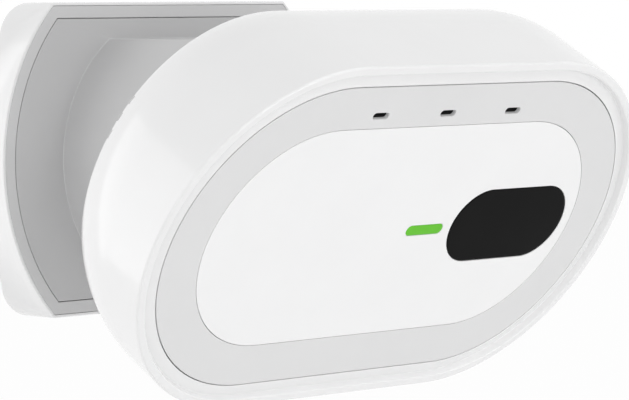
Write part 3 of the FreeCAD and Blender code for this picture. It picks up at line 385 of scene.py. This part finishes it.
def carve(piece: Piece, cutters: Sequence[Piece]) -> Piece:
    """Cuts tools out of a piece and removes the tools.

    Args:
        piece: The piece to cut.
        cutters: The closed meshes to take away from it.

    Returns:
        The same piece.
    """
    for cutter in cutters:
        cut = piece.modifiers.new("cut", "BOOLEAN")
        cut.operation, cut.solver, cut.object = "DIFFERENCE", "EXACT", cutter
    bpy.context.view_layer.update()
    bake(piece)
    for cutter in cutters:
        data = cutter.data
        bpy.data.objects.remove(cutter)
        bpy.data.meshes.remove(data)
    return piece


def soften(piece: Piece, width: float, angle: float, steps: int = 3) -> Piece:
    """Rounds the sharp edges of a piece.

    Args:
        piece: The piece to round.
        width: How far the rounding reaches, in millimetres.
        angle: The angle, in degrees, above which an edge counts as sharp.
        steps: How many faces the rounding has.

    Returns:
        The same piece.
    """
    bevel = piece.modifiers.new("edges", "BEVEL")
    bevel.width, bevel.segments = width * MM, steps
    bevel.limit_method, bevel.angle_limit = "ANGLE", math.radians(angle)
    bevel.use_clamp_overlap = True
    return piece


def dress(piece: Piece, finish: Moulded, body: str, replaced: Sequence[str] = ()) -> None:
    """Settles a piece, and gives it its finish, body and the solids it stands for.

    Args:
        piece: The piece to dress.
        finish: Its finish.
        body: The moving body that carries it.
        replaced: The nodes whose solids it stands for.
    """
    settle(piece)
    piece.data.materials.clear()
    piece.data.materials.append(finish.build())
    finish.slot or finish.name
    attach(piece, body)
    if replaced:
        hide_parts(*replaced)
    log.info("%s: %d faces", piece.name, len(piece.data.polygons))


# The base on the wall


@dataclass
class Base:
    """The wall base: white shell, grey rim and panel with the neck.

    Only sizes that need more than a name are listed.

    Attributes:
        depth: How far its front stands off the wall.
        wall: The shell's thickness round the hollow.
        wall_round: The rounding of the edge at the wall, and wall_bend its middle.
        rim_edge: How far inside the front's edge the rim starts.
        rim_sink: How far the rim's back stands clear of its seat.
        rim_round: The rounding of the rim's and the panel's edges along the seam.
        foot_round: The rounding where the neck leaves the panel.
        foot_front: Where the room inside the neck ends.
        mouth_round: The rounding of the neck's end.
    """

    depth: float = 8.0
    half_width: float = 47.9
    half_height: float = 33.5
    front_corner: float = 1.0
    front_corner_min: float = 0.12
    back_half_width: float = 44.6
    back_side_radius: float = 150.0
    back_corner: float = 8.0
    wall: float = 3.3
    hollow_radius: float = 4000.0
    hollow_corner: float = 14.0
    hollow_front: float = 4.0
    wall_round: float = 0.25
    wall_bend: float = 0.07
    front_round: float = 0.3
    rim_edge: float = 0.6
    rim_width: float = 3.3
    rim_sheet: float = 1.2
    rim_sink: float = 0.1
    rim_round: float = 0.16
    seam: float = 0.15
    panel_back: float = 6.0
    door_half_width: float = 21.4
    door_top: float = -31.7
    door_gap: float = 0.12
    notch_half_width: float = 5.0
    notch_depth: float = 5.0
    notch_height: float = 3.8
    neck_radius: float = 31.4
    neck_half_height: float = 25.6
    neck_corner: float = 0.8
    neck_corner_min: float = 0.1
    neck_wall: float = 3.0
    foot_front: float = 27.6
    neck_end: float = 37.2
    foot_round: float = 0.25
    mouth_round: float = 0.5
    saddle_edge: float = 0.35
    saddle_radius: float = 22.4
    saddle_half_width: float = 22.4
    pivot: float = 53.0
    arm_half_width: float = 6.3
    arm_half_height: float = 7.3
    lock_side: float = 25.0
    lock_station: float = 2.0
    lock_radius: float = 2.36
    lock_reach: float = 6.0

    def front(self, inset: float) -> list[Point]:
        """The front's outline, drawn in by an inset."""
        return pillow(self.half_width - inset, self.half_height - inset, self.half_width - inset,
                      max(self.front_corner - inset, self.front_corner_min))

    def back(self, inset: float) -> list[Point]:
        """The outline at the wall, drawn in by an inset."""
        return pillow(self.back_half_width - inset, self.half_height - inset,
                      self.back_side_radius - inset, self.back_corner - inset)

    def hollow(self) -> list[Point]:
        """The outline of the room behind the front wall."""
        return pillow(self.back_half_width - self.wall, self.half_height - self.wall,
                      self.hollow_radius, self.hollow_corner)

    def neck(self, inset: float) -> list[Point]:
        """The neck's section, drawn in by an inset."""
        return pillow(self.neck_radius - inset, self.neck_half_height - inset, self.neck_radius - inset,
                      max(self.neck_corner - inset, self.neck_corner_min))

    @staticmethod
    def ring(outline: Sequence[Point], station: float) -> Ring:
        """An outline at a distance from the wall, in metres."""
        return [Vector((x, -station, z)) * MM for x, z in outline]

    def box(self, name: str, x: Point, station: Point, z: Point) -> Piece:
        """A plain box between two places on each axis."""
        outline = [(x[0], z[0]), (x[1], z[0]), (x[1], z[1]), (x[0], z[1])]
        return sweep(name, [self.ring(outline, station[0]), self.ring(outline, station[1])])

    def door_cut(self) -> Piece:
        """The space that the cable door fills."""
        half = self.door_half_width + self.door_gap
        return self.box("door_cut", (-half, half), (-PAST, self.depth + PAST),
                        (-self.half_height - PAST, self.door_top + self.door_gap))

    def saddle_cut(self) -> Piece:
        """The cylinder across the neck's end, in which the head's drum turns."""
        spots = arc_points((-self.pivot, 0.0), self.saddle_radius, 0, 360, TUBE_STEPS)
        return sweep("tube", [[Vector((x, y, z)) * MM for y, z in spots]
                              for x in (-self.saddle_half_width, self.saddle_half_width)])

    def lock_cut(self) -> Piece:
        """The lock screw's upright hole in the lower edge."""
        spots = arc_points((self.lock_side, -self.lock_station), self.lock_radius, 0, 360, TUBE_STEPS)
        return sweep("tube", [[Vector((x, y, reach - self.half_height)) * MM for x, y in spots]
                              for reach in (-self.lock_reach, self.lock_reach)])

    def neck_room(self, first: float, last: float) -> Piece:
        """The room inside the neck, between two distances from the wall."""
        outline = self.neck(self.neck_wall)
        return sweep("neck_room", [self.ring(outline, first), self.ring(outline, last)])

    def build_shell(self) -> None:
        """The white shell, from a rounded rectangle at the wall to a flat-topped disc in front."""
        ring, depth, wall_round = self.ring, self.depth, self.wall_round
        rings = [ring(self.hollow(), self.hollow_front), ring(self.hollow(), 0.0),
                 ring(self.back(wall_round), 0.0), ring(self.back(self.wall_bend), self.wall_bend),
                 ring(self.back(0.0), wall_round)]
        low, high = self.back(0.0), self.front(0.0)
        for share in (0.25, 0.5, 0.75):
            station = wall_round + (depth - self.front_round - wall_round) * share
            blend = [(a[0] + (b[0] - a[0]) * share, a[1] + (b[1] - a[1]) * share)
                     for a, b in zip(low, high)]
            rings.append(ring(blend, station))
        rings += [ring(self.front(self.front_round * inward), depth - self.front_round * rest)
                  for inward, rest in quarter_turn(4)]
        for inset, station in ((self.rim_edge, depth), (self.rim_edge, depth - self.rim_sheet),
                               (self.rim_width, depth - self.rim_sheet),
                               (self.rim_width, self.panel_back)):
            rings.append(ring(self.front(inset), station))
        shell = sweep("base_shell_moulding", rings)
        bore = self.neck_room(self.hollow_front - PAST, self.panel_back + PAST)
        notch = self.box("notch_cut", (-self.notch_half_width, self.notch_half_width),
                         (-PAST, self.notch_depth),
                         (-self.half_height - PAST, -self.half_height + self.notch_height))
        carve(shell, [self.door_cut(), notch, self.lock_cut(), bore])
        dress(shell, WHITE_SHELL, "base", ["base_shell"])

    def build_rim(self) -> None:
        """The grey ring round the front, its grey painted lighter than the panel's as painted light."""
        outer, top, low = self.rim_edge + self.seam / 2, self.depth, self.depth - self.rim_sheet
        corners = [(outer, low + self.rim_sink, 0.0), (outer, top, self.rim_round),
                   (self.rim_width, top, self.rim_round), (self.rim_width, low + self.rim_sink, 0.0)]
        path = rounded_path(corners, 3)
        rim = sweep("rim_ring_moulding", [self.ring(self.front(r), s) for r, s in path], Ends.JOINED)
        # The rim's finish is the panel's mid grey painted lighter: painted light.
        dress(carve(rim, [self.door_cut()]), RIM_GREY_PAINTED_LIGHT, "base", ["rim_ring"])

    def build_neck(self) -> None:
        """The grey panel and the neck, whose end is a saddle for the head's drum."""
        edge = self.rim_width + self.seam
        ring, depth = self.ring, self.depth
        rings = [ring(self.front(edge), self.panel_back)]
        rings += [ring(self.front(edge + self.rim_round * inward), depth - self.rim_round * rest)
                  for inward, rest in quarter_turn(3)]
        rings += [ring(self.neck(-self.foot_round * rest), depth + self.foot_round * inward)
                  for inward, rest in quarter_turn(3)]
        rings += [ring(self.neck(self.mouth_round * inward), self.neck_end - self.mouth_round * rest)
                  for inward, rest in quarter_turn(4)]
        neck = sweep("neck_moulding", rings)
        bore = self.box("arm_room", (-self.arm_half_width, self.arm_half_width),
                        (self.panel_back + PAST, self.pivot),
                        (-self.arm_half_height, self.arm_half_height))
        room = self.neck_room(self.panel_back - PAST, self.foot_front)
        soften(carve(neck, [self.saddle_cut(), bore, room]), self.saddle_edge, angle=50.0)
        dress(neck, MID_GREY, "base", ["neck_housing"])

    def build(self) -> None:
        """Makes the base's own pieces."""
        self.build_shell()
        self.build_rim()
        self.build_neck()


# The head


@dataclass
class Head:
    """The tilting head, in its own frame: casing, face, window, light bar, cover and drum.

    Only sizes that need more than a name are listed.

    Attributes:
        pivot: The tilt axis's distance from the wall.
        tilt: The stored tilt, in degrees down.
        face: The face's distance in front of the tilt axis.
        side_steps: Where the side wall's sections lie, in front of the parting plane.
        core_radius: The end radius out to which the deck and the cover's back are one flat face.
        lip_round, lip_inner_round, moat_round, seat_round: The roundings from the lip to the face.
        wedge: How far the back leans, in degrees.
        cover_land: The straight part of the cover's side before its curve starts.
        tool_reach: How far behind the back's middle the tools for its holes start.
        turn: The turn from the head's frame to the base's.
    """

    pivot: float = 53.0
    tilt: float = 29.5
    face: float = 26.8
    straight: float = 28.4
    front_radius: float = 40.185
    back_radius: float = 39.9
    wall: float = 2.4
    lip_height: float = 0.8
    lip_width: float = 1.9
    lip_slope: float = 0.4
    moat_depth: float = 1.5
    side_steps: tuple[float, ...] = (0.0, 4.5, 8.0)
    core_radius: float = 20.0
    lip_round: float = 0.55
    lip_inner_round: float = 0.35
    moat_round: float = 0.25
    seat_round: float = 0.12
    ring_radius: float = 35.0
    ring_gap: float = 0.22
    ring_round: float = 0.14
    ring_edge: float = 0.1
    sheet: float = 2.0
    plate_radius: float = 25.35
    plate_gap: float = 0.12
    plate_round: float = 0.1
    plate_edge: float = 0.08
    deck_sheet: float = 1.8
    parting: float = 16.4
    cover_depth: float = 15.5
    cover_wall: float = 2.2
    cover_round: float = 25.0
    cover_edge: float = 2.5
    cover_land: float = 1.0
    cover_cut_edge: float = 0.12
    wedge: float = 5.3
    window_side: float = 33.46
    window_straight: float = 8.69
    window_radius: float = 8.86
    window_gap: float = 0.1
    window_sheet: float = 1.4
    window_round: float = 0.22
    light_side: float = 7.93
    light_straight: float = 4.2
    light_radius: float = 1.2
    light_gap: float = 0.06
    light_sheet: float = 3.0
    light_round: float = 0.2
    port_rise: float = 28.37
    port_pitch: float = 19.5
    port_straight: float = 1.5
    port_radius: float = 0.75
    port_depth: float = 0.9
    port_cut: float = 8.0
    liner_sheet: float = 0.06
    liner_sink: float = 0.05
    liner_back: float = 3.6
    liner_floor: float = 3.3
    drum_radius: float = 22.0
    drum_half_width: float = 22.0
    drum_edge: float = 0.5
    drum_bend: float = 0.15
    drum_cut_edge: float = 0.2
    arm_room: float = 6.3
    arm_room_height: float = 9.0
    arm_reach: float = 4.0
    tool_reach: float = 6.0
    slot_low: float = -19.6
    slot_high: float = 8.8
    slot_front: float = 4.0
    screw_side: float = 50.0
    screw_rise: float = 16.0
    screw_seat_radius: float = 2.45
    screw_head: float = 1.3
    screw_sink: float = 0.4
    inlet: tuple[float, float] = (-29.0, -19.0)
    button: tuple[float, float] = (29.0, -19.0)
    inlet_straight: float = 2.9
    inlet_radius: float = 1.8
    button_radius: float = 2.5
    vent_turn: float = 34.0
    vent_length: float = 1.9
    vent_height: float = 0.55
    vent_reach: float = 2.0
    vent_angles: tuple[float, ...] = (16.5, 22.7, 28.9)
    turn: Matrix = field(init=False)

    def __post_init__(self) -> None:
        """Works out the turn from the head's frame to the base's."""
        self.turn = Matrix.Translation((0.0, -self.pivot * MM, 0.0)) @ Matrix.Rotation(
            math.radians(self.tilt), 4, "X")

    def put(self, x: float, station: float, z: float) -> Vector:
        """A place in the head's frame, turned to the base's, in metres."""
        return self.turn @ (Vector((x, -station, z)) * MM)

    def ring(self, outline: Sequence[Point], station: float, leaning: bool = False) -> Ring:
        """An outline at a station, which may lean back with the wedge."""
        slope = math.tan(math.radians(self.wedge)) if leaning else 0.0
        return [self.put(x, station - slope * z, z) for x, z in outline]

    def outer(self, station: float) -> float:
        """The casing's end radius at a station.

        Args:
            station: The distance in front of the tilt axis.

        Returns:
            The radius of the racetrack's ends there.
        """
        start = self.parting - self.cover_depth - math.tan(math.radians(self.wedge)) * self.front_radius
        share = (station - start) / (self.face + self.lip_height - start)
        return self.back_radius + (self.front_radius - self.back_radius) * share

    def tool(self, outline: Sequence[Point], back: float, front: float) -> Piece:
        """A straight cutting tool through an outline, from one station to another."""
        return sweep("tool", [self.ring(outline, back), self.ring(outline, front)])

    def plate(self, inset: float) -> list[Point]:
        """The centre plate's outline, drawn in by an inset."""
        return racetrack(self.straight, self.plate_radius - inset)

    def window(self, inset: float) -> list[Point]:
        """The window's outline, drawn in by an inset."""
        return racetrack(self.window_straight, self.window_radius - inset, self.window_side)

    def light(self, inset: float) -> list[Point]:
        """The light bar's outline, drawn in by an inset."""
        return racetrack(self.light_straight, self.light_radius - inset, self.light_side,
                         arc_steps=LIGHT_STEPS)

    def port(self, i: int, inset: float) -> list[Point]:
        """The outline of one sound port, drawn in by an inset."""
        return racetrack(self.port_straight, self.port_radius - inset, self.port_pitch * i,
                         self.port_rise, PORT_STEPS)

    def ports(self) -> list[Piece]:
        """The tools that cut the three sound ports."""
        return [self.tool(self.port(i, 0.0), self.face - self.port_cut, self.face + PAST * 2)
                for i in (-1, 0, 1)]

    def build_shell(self) -> None:
        """The casing: side wall, raised lip, sloping moat and the deck behind the face."""
        rim = self.face + self.lip_height
        inner = self.front_radius - self.lip_width
        seat = self.ring_radius + self.ring_gap
        deck = self.face - self.sheet
        room = self.back_radius - self.wall
        corners = [(self.outer(self.parting + step), self.parting + step, 0.0)
                   for step in self.side_steps]
        corners += [
            (self.front_radius, rim, self.lip_round),
            (inner, rim, self.lip_inner_round),
            (inner - self.lip_slope, rim - self.moat_depth, self.moat_round),
            (seat, self.face, self.seat_round),
            (seat, deck, 0.0),
            (self.core_radius, deck, 0.0),
            (self.core_radius, deck - self.deck_sheet, 0.0),
            (room, deck - self.deck_sheet, 0.0),
            (room, self.parting, 0.0),
        ]
        path = rounded_path(corners, 6)
        rings = [self.ring(racetrack(self.straight, r), s, leaning=s <= self.parting + 0.01)
                 for r, s in path]
        shell = sweep("head_shell_moulding", rings, Ends.JOINED)
        dress(carve(shell, self.ports()), WHITE_SHELL, "head", ["head_shell"])

    def flat_plate(self, name: str, outline: Outline, sheet: float,
                   rounding: float) -> Piece:
        """A flat plate, flush with the face, whose front edge is rounded.

        Args:
            name: The piece's name.
            outline: Gives the plate's outline for an inset.
            sheet: Its thickness.
            rounding: The radius of the front edge.

        Returns:
            The new object.
        """
        path = rounded_path([(0.0, self.face - sheet, 0.0), (0.0, self.face, rounding),
                             (rounding * 4, self.face, 0.0)], 4)
        return sweep(name, [self.ring(outline(inset), s) for inset, s in path])

    def build_face(self) -> None:
        """The grey ring plate and the white centre plate with their openings."""
        deck = self.face - self.sheet
        bore = self.plate_radius + self.plate_gap
        corners = [(self.ring_radius, deck, 0.0), (self.ring_radius, self.face, self.ring_round),
                   (bore, self.face, self.plate_round), (bore, deck, 0.0)]
        rings = [self.ring(racetrack(self.straight, r), s) for r, s in rounded_path(corners, 4)]
        plate_ring = sweep("face_ring_moulding", rings, Ends.JOINED)
        soften(carve(plate_ring, self.ports()), self.ring_edge, angle=60.0)
        dress(plate_ring, LIGHT_GREY, "head", ["face_ring"])
        plate = self.flat_plate("face_plate_moulding", self.plate, self.sheet, self.plate_round)
        holes = [self.tool(outline, deck - PAST, self.face + PAST)
                 for outline in (self.window(-self.window_gap), self.light(-self.light_gap))]
        soften(carve(plate, holes), self.plate_edge, angle=60.0)
        dress(plate, WHITE_PLATE, "head", ["face_plate"])

    def build_inserts(self) -> None:
        """The polished dark window and the glowing light bar, flush with the face."""
        window = self.flat_plate("window_pane", self.window, self.window_sheet, self.window_round)
        dress(window, DARK_WINDOW, "head", ["window"])
        bar = self.flat_plate("light_bar", self.light, self.light_sheet, self.light_round)
        dress(bar, GREEN_GUIDE, "head", ["light_guide"])

    def vent(self, angle: float) -> Piece:
        """A tool for a thin slot, square to the cover's curved side.

        Args:
            angle: Where the slot lies round the head, in degrees from the right.

        Returns:
            The cutting tool.
        """
        turn, dip = math.radians(angle), math.radians(self.vent_turn)
        outward = Vector((math.cos(turn), 0.0, math.sin(turn)))
        along = Vector((-math.sin(turn), 0.0, math.cos(turn)))
        forward = Vector((0.0, -1.0, 0.0))
        inward = forward * math.sin(dip) - outward * math.cos(dip)
        across = forward * math.cos(dip) + outward * math.sin(dip)
        radius = self.outer(self.parting) - self.cover_round * (1.0 - math.cos(dip))
        x = math.copysign(self.straight, outward.x) + radius * outward.x
        z = radius * outward.z
        station = (self.parting - math.tan(math.radians(self.wedge)) * z
                   - self.cover_round * math.sin(dip))
        mouth = Vector((x, -station, z))
        rings = []
        for depth in (-self.vent_reach, self.vent_reach):
            corners = []
            for a, b in ((-1, -1), (1, -1), (1, 1), (-1, 1)):
                spot = (mouth + inward * depth + along * (a * self.vent_length / 2)
                        + across * (b * self.vent_height / 2))
                corners.append(self.turn @ (spot * MM))
            rings.append(corners)
        return sweep("vent_tool", rings)

    def side_curve(self, radius: float, curve: float, back: float, edge: float) -> list[Point]:
        """A dish's section: its side curves in from the parting plane to the flat back.

        Args:
            radius: The end radius at the parting plane.
            curve: The radius of the side's curve.
            back: The station of the flat back.
            edge: The rounding between the curve and the flat back.

        Returns:
            Pairs of end radius and station, from the parting plane to the back.
        """
        low = back + edge
        start = self.parting - self.cover_land
        last = math.asin((start - low) / (curve - edge))
        centre = radius - curve + (curve - edge) * math.cos(last)
        path = [(radius, self.parting)]
        path += [(radius - curve * (1.0 - math.cos(last * k / CURVE_STEPS)),
                  start - curve * math.sin(last * k / CURVE_STEPS)) for k in range(CURVE_STEPS + 1)]
        for k in range(1, EDGE_STEPS + 1):
            turn = last + (math.pi / 2 - last) * k / EDGE_STEPS
            path.append((centre + edge * math.cos(turn), low - edge * math.sin(turn)))
        return path

    def build_liners(self) -> None:
        """The black sleeves that line the three sound ports."""
        top = self.face - self.port_depth
        section = ((-self.liner_sink, self.face - self.liner_back), (-self.liner_sink, top),
                   (self.liner_sheet, top), (self.liner_sheet, self.face - self.liner_floor))
        for i in (-1, 0, 1):
            rings = [self.ring(self.port(i, inset), station) for inset, station in section]
            liner = sweep("port_liner_%d" % (i + 2), rings)
            dress(liner, RUBBER, "head")

    def opening(self, low: float, high: float) -> list[Point]:
        """The outline that the tilt arm needs, between two heights."""
        return [(-self.arm_room, low), (self.arm_room, low), (self.arm_room, high),
                (-self.arm_room, high)]

    def build_cover(self) -> None:
        """The leaning back cover with its curved side, vents, screw seats, inlet and button hole."""
        radius = self.outer(self.parting)
        back = self.parting - self.cover_depth
        outside = self.side_curve(radius, self.cover_round, back, self.cover_edge)
        inside = self.side_curve(self.back_radius - self.wall, self.cover_round - self.cover_wall,
                                 back + self.cover_wall, self.cover_edge / 2)
        path = [(self.core_radius, back), *outside[::-1], *inside,
                (self.core_radius, back + self.cover_wall)]
        rings = [self.ring(racetrack(self.straight, r), s, leaning=True) for r, s in path]
        cover = sweep("back_cover_moulding", rings)
        slope = math.tan(math.radians(self.wedge))
        tools = []
        behind = back - self.tool_reach
        for right, up in ((1, 1), (-1, 1), (-1, -1), (1, -1)):
            x, z = right * self.screw_side, up * self.screw_rise
            seat = back - slope * z + self.screw_head + self.screw_sink
            tools.append(self.tool(arc_points((x, z), self.screw_seat_radius, 0, 360, HOLE_STEPS),
                                   behind, seat))
        for outline in (racetrack(self.inlet_straight, self.inlet_radius, *self.inlet, PORT_STEPS),
                        arc_points(self.button, self.button_radius, 0, 360, HOLE_STEPS)):
            tools.append(self.tool(outline, behind, self.parting))
        tools += [self.vent(t) for a in self.vent_angles for t in (a, -a, 180 - a, 180 + a)]
        tools.append(self.tool(self.opening(-self.arm_room_height, self.arm_room_height),
                               back - self.arm_reach, self.parting + PAST * 2))
        soften(carve(cover, tools), self.cover_cut_edge, angle=60.0)
        dress(cover, WHITE_SHELL, "head", ["back_cover"])

    def build_drum(self) -> None:
        """The half drum behind the cover, which turns in the neck's saddle, with the arm's slot."""
        half, slope = self.drum_half_width, math.radians(self.wedge)
        end = self.parting - self.cover_depth + self.cover_wall / 2
        radius = self.drum_radius
        start = math.degrees(math.asin(end * math.cos(slope) / radius)) - self.wedge
        first, last = 90 - start, -90 + start + self.wedge * 2
        spots = [(-radius * math.cos(math.radians(a)), radius * math.sin(math.radians(a)))
                 for a in (first + (last - first) * i / DRUM_STEPS for i in range(DRUM_STEPS + 1))]
        rings = []
        edge, bend = self.drum_edge, self.drum_bend
        for x, inset in ((-half, edge), (-half + bend, bend), (-half + edge, 0.0),
                         (half - edge, 0.0), (half - bend, bend), (half, edge)):
            shrink = 1.0 - inset / radius
            rings.append([self.put(x, s * shrink, z * shrink) for s, z in spots])
        drum = sweep("tilt_drum", rings)
        slot = self.tool(self.opening(self.slot_low, self.slot_high), -radius - PAST * 2,
                         self.slot_front)
        soften(carve(drum, [slot]), self.drum_cut_edge, angle=60.0)
        dress(drum, WHITE_SHELL, "head")

    def build(self) -> None:
        """Makes the head's own pieces."""
        self.build_shell()
        self.build_face()
        self.build_inserts()
        self.build_liners()
        self.build_cover()
        self.build_drum()


# Parts that keep their solid


def keep(node: str, finish: Moulded, edge: float) -> None:
    """Gives a solid that keeps its shape a finish and soft edges.

    Args:
        node: The solid's name.
        finish: Its finish.
        edge: How far its sharp edges are rounded.
    """
    solid = frame["nodes"][node]
    material = finish.build()
    if not solid.material_slots:
        solid.data.materials.append(material)
    for slot in solid.material_slots:
        slot.material = material
    soften(solid, edge, angle=50.0, steps=2)
    weigh = solid.modifiers.new("weighted", "WEIGHTED_NORMAL")
    weigh.keep_sharp = True


PLAIN_EDGE = 0.06
KEPT_EDGES = {"cable_door": 0.15, "tilt_arm": 0.3, "wall_bracket": 0.12, "reset_button": 0.2}
REPLACED = {"base_shell", "rim_ring", "neck_housing", "head_shell", "face_ring", "face_plate",
            "window", "light_guide", "back_cover"}


# Camera, light and surroundings


LAMP_AIM = (0.0, -0.055, 0.0)  # the place that the lamps point at, in metres


@dataclass(frozen=True)
class Lamp:
    """A square soft lamp that points at the head.

    Attributes:
        name: The lamp's name.
        place: Its place, in metres.
        size: Its side, in metres.
        power: Its power, in watts.
    """

    name: str
    place: tuple[float, float, float]
    size: float
    power: float

    def build(self) -> None:
        """Places the lamp."""
        data = bpy.data.lights.new(self.name, "AREA")
        data.shape, data.size, data.energy = "SQUARE", self.size, self.power
        lamp = bpy.data.objects.new(self.name, data)
        spot = Vector(self.place)
        turn = (Vector(LAMP_AIM) - spot).to_track_quat("-Z", "Y").to_matrix().to_4x4()
        lamp.matrix_world = Matrix.Translation(spot) @ turn
        bpy.context.scene.collection.objects.link(lamp)


LAMPS = (
    Lamp("key_lamp", (0.5, -0.9, 0.8), 0.7, 2.4),
    Lamp("left_lamp", (-1.0, -0.5, 0.1), 0.8, 1.5),
    Lamp("back_lamp", (-0.75, 0.68, 0.15), 1.0, 2.9),
    Lamp("front_lamp", (0.25, -1.2, -0.3), 0.8, 4.0),
)


@dataclass
class Studio:
    """The camera at the photograph's place, a pale floor, and soft light.

    Attributes:
        camera_place: The camera's place, in millimetres.
        right: The picture's right-hand direction.
        up: The picture's upward direction.
        lens: The lens's length for a 36 mm sensor.
        floor_drop: How far the floor lies below the tilt axis.
        floor_half: Half the floor's side, in metres.
        floor_grey: The floor's brightness.
        floor_share: How far the floor is washed out to white.
        dome_low: The dome's brightness straight down, and dome_high straight up.
        dome_strength: The dome's strength.
    """

    camera_place: tuple[float, float, float] = (-480.293, -533.683, 38.069)
    right: tuple[float, float, float] = (0.708062, -0.70615, 0.000484)
    up: tuple[float, float, float] = (0.047167, 0.047978, 0.997734)
    lens: float = 185.769
    floor_drop: float = 400.0
    floor_half: float = 6.0
    floor_grey: float = 0.9
    floor_share: float = 0.96
    dome_low: float = 0.80
    dome_high: float = 0.92
    dome_strength: float = 0.76

    def build_camera(self) -> None:
        """Places the camera."""
        data = bpy.data.cameras.new("camera")
        data.lens, data.sensor_width = self.lens, 36.0
        data.clip_start, data.clip_end = 0.01, 20.0
        camera = bpy.data.objects.new("camera", data)
        right = Vector(self.right).normalized()
        back = right.cross(Vector(self.up)).normalized()
        up = back.cross(right)
        turn = Matrix((right, up, back)).transposed().to_4x4()
        camera.matrix_world = Matrix.Translation(Vector(self.camera_place) * MM) @ turn
        bpy.context.scene.collection.objects.link(camera)
        bpy.context.scene.camera = camera

    @staticmethod
    def seen_directly(tree: bpy.types.NodeTree) -> bpy.types.NodeSocket:
        """Marks the rays that show the surroundings themselves: straight, mirrored or let through.

        Args:
            tree: The node tree that needs the mark.

        Returns:
            The output that is one on such a ray, and nought otherwise.
        """
        path = tree.nodes.new("ShaderNodeLightPath")
        total = path.outputs["Is Camera Ray"]
        for kind in ("Is Glossy Ray", "Is Transmission Ray"):
            plus = tree.nodes.new("ShaderNodeMath")
            plus.operation, plus.use_clamp = "ADD", True
            tree.links.new(total, plus.inputs[0])
            tree.links.new(path.outputs[kind], plus.inputs[1])
            total = plus.outputs["Value"]
        return total

    @staticmethod
    def blend(tree: bpy.types.NodeTree, share: bpy.types.NodeSocket, hidden: bpy.types.NodeSocket,
              shown: bpy.types.NodeSocket, output: str) -> None:
        """Ends a node tree with a mix of two shaders.

        Args:
            tree: The node tree.
            share: How much of the second one is shown.
            hidden: The shader that lights the object.
            shown: The shader that is seen directly.
            output: The kind of the last node.
        """
        mix = tree.nodes.new("ShaderNodeMixShader")
        tree.links.new(share, mix.inputs["Fac"])
        tree.links.new(hidden, mix.inputs[1])
        tree.links.new(shown, mix.inputs[2])
        out = tree.nodes.new(output)
        tree.links.new(mix.outputs["Shader"], out.inputs["Surface"])

    def build_world(self) -> None:
        """A white background for the camera, and a softly graded dome for the light."""
        world = bpy.data.worlds.new("studio")
        bpy.context.scene.world = world
        world.use_nodes = True
        nodes, links = world.node_tree.nodes, world.node_tree.links
        nodes.clear()
        place = nodes.new("ShaderNodeTexCoord")
        split = nodes.new("ShaderNodeSeparateXYZ")
        links.new(place.outputs["Generated"], split.inputs["Vector"])
        ramp = nodes.new("ShaderNodeValToRGB")
        for stop, level in zip(ramp.color_ramp.elements, (self.dome_low, self.dome_high)):
            stop.color = (level, level, level, 1.0)
        rise = nodes.new("ShaderNodeMapRange")
        rise.inputs["From Min"].default_value = -1.0
        links.new(split.outputs["Z"], rise.inputs["Value"])
        links.new(rise.outputs["Result"], ramp.inputs["Fac"])
        dome = nodes.new("ShaderNodeBackground")
        dome.inputs["Strength"].default_value = self.dome_strength
        links.new(ramp.outputs["Color"], dome.inputs["Color"])
        plain = nodes.new("ShaderNodeBackground")
        plain.inputs["Color"].default_value = (1.0, 1.0, 1.0, 1.0)
        self.blend(world.node_tree, self.seen_directly(world.node_tree), dome.outputs["Background"],
                   plain.outputs["Background"], "ShaderNodeOutputWorld")

    def build_floor(self) -> None:
        """A pale floor that keeps a faint shadow."""
        size, z = self.floor_half, -self.floor_drop * MM
        corners = [Vector((-size, -size, z)), Vector((size, -size, z)), Vector((size, size, z)),
                   Vector((-size, size, z))]
        data = bpy.data.meshes.new("floor")
        data.from_pydata(corners, [], [(0, 1, 2, 3)])
        floor = bpy.data.objects.new("floor", data)
        bpy.context.scene.collection.objects.link(floor)
        material = bpy.data.materials.new("floor_paint")
        material.use_nodes = True
        nodes, links = material.node_tree.nodes, material.node_tree.links
        nodes.clear()
        paint = nodes.new("ShaderNodeBsdfDiffuse")
        paint.inputs["Color"].default_value = (self.floor_grey,) * 3 + (1.0,)
        glow = nodes.new("ShaderNodeEmission")
        glow.inputs["Color"].default_value = (1.0, 1.0, 1.0, 1.0)
        share = nodes.new("ShaderNodeMath")
        share.operation = "MULTIPLY"
        share.inputs[1].default_value = self.floor_share
        links.new(self.seen_directly(material.node_tree), share.inputs[0])
        self.blend(material.node_tree, share.outputs["Value"], paint.outputs["BSDF"],
                   glow.outputs["Emission"], "ShaderNodeOutputMaterial")
        data.materials.append(material)

    def build(self) -> None:
        """Makes the surroundings."""
        bpy.context.scene.view_settings.view_transform = "Standard"
        self.build_camera()
        self.build_world()
        self.build_floor()
        for lamp in LAMPS:
            lamp.build()


def main() -> None:
    """Builds every piece in order."""
    logging.basicConfig(level=logging.INFO, format="%(name)s: %(message)s")
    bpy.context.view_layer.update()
    Studio().build()
    Base().build()
    Head().build()
    slots = {row["node"]: row["material_slot"] for row in frame["record"]["subparts"]}
    for node in sorted(frame["nodes"]):
        if node not in REPLACED:
            keep(node, FINISHES[slots[node]], KEPT_EDGES.get(node, PLAIN_EDGE))
            log.info("%s keeps its solid", node)


if __name__ == "__main__":
    main()
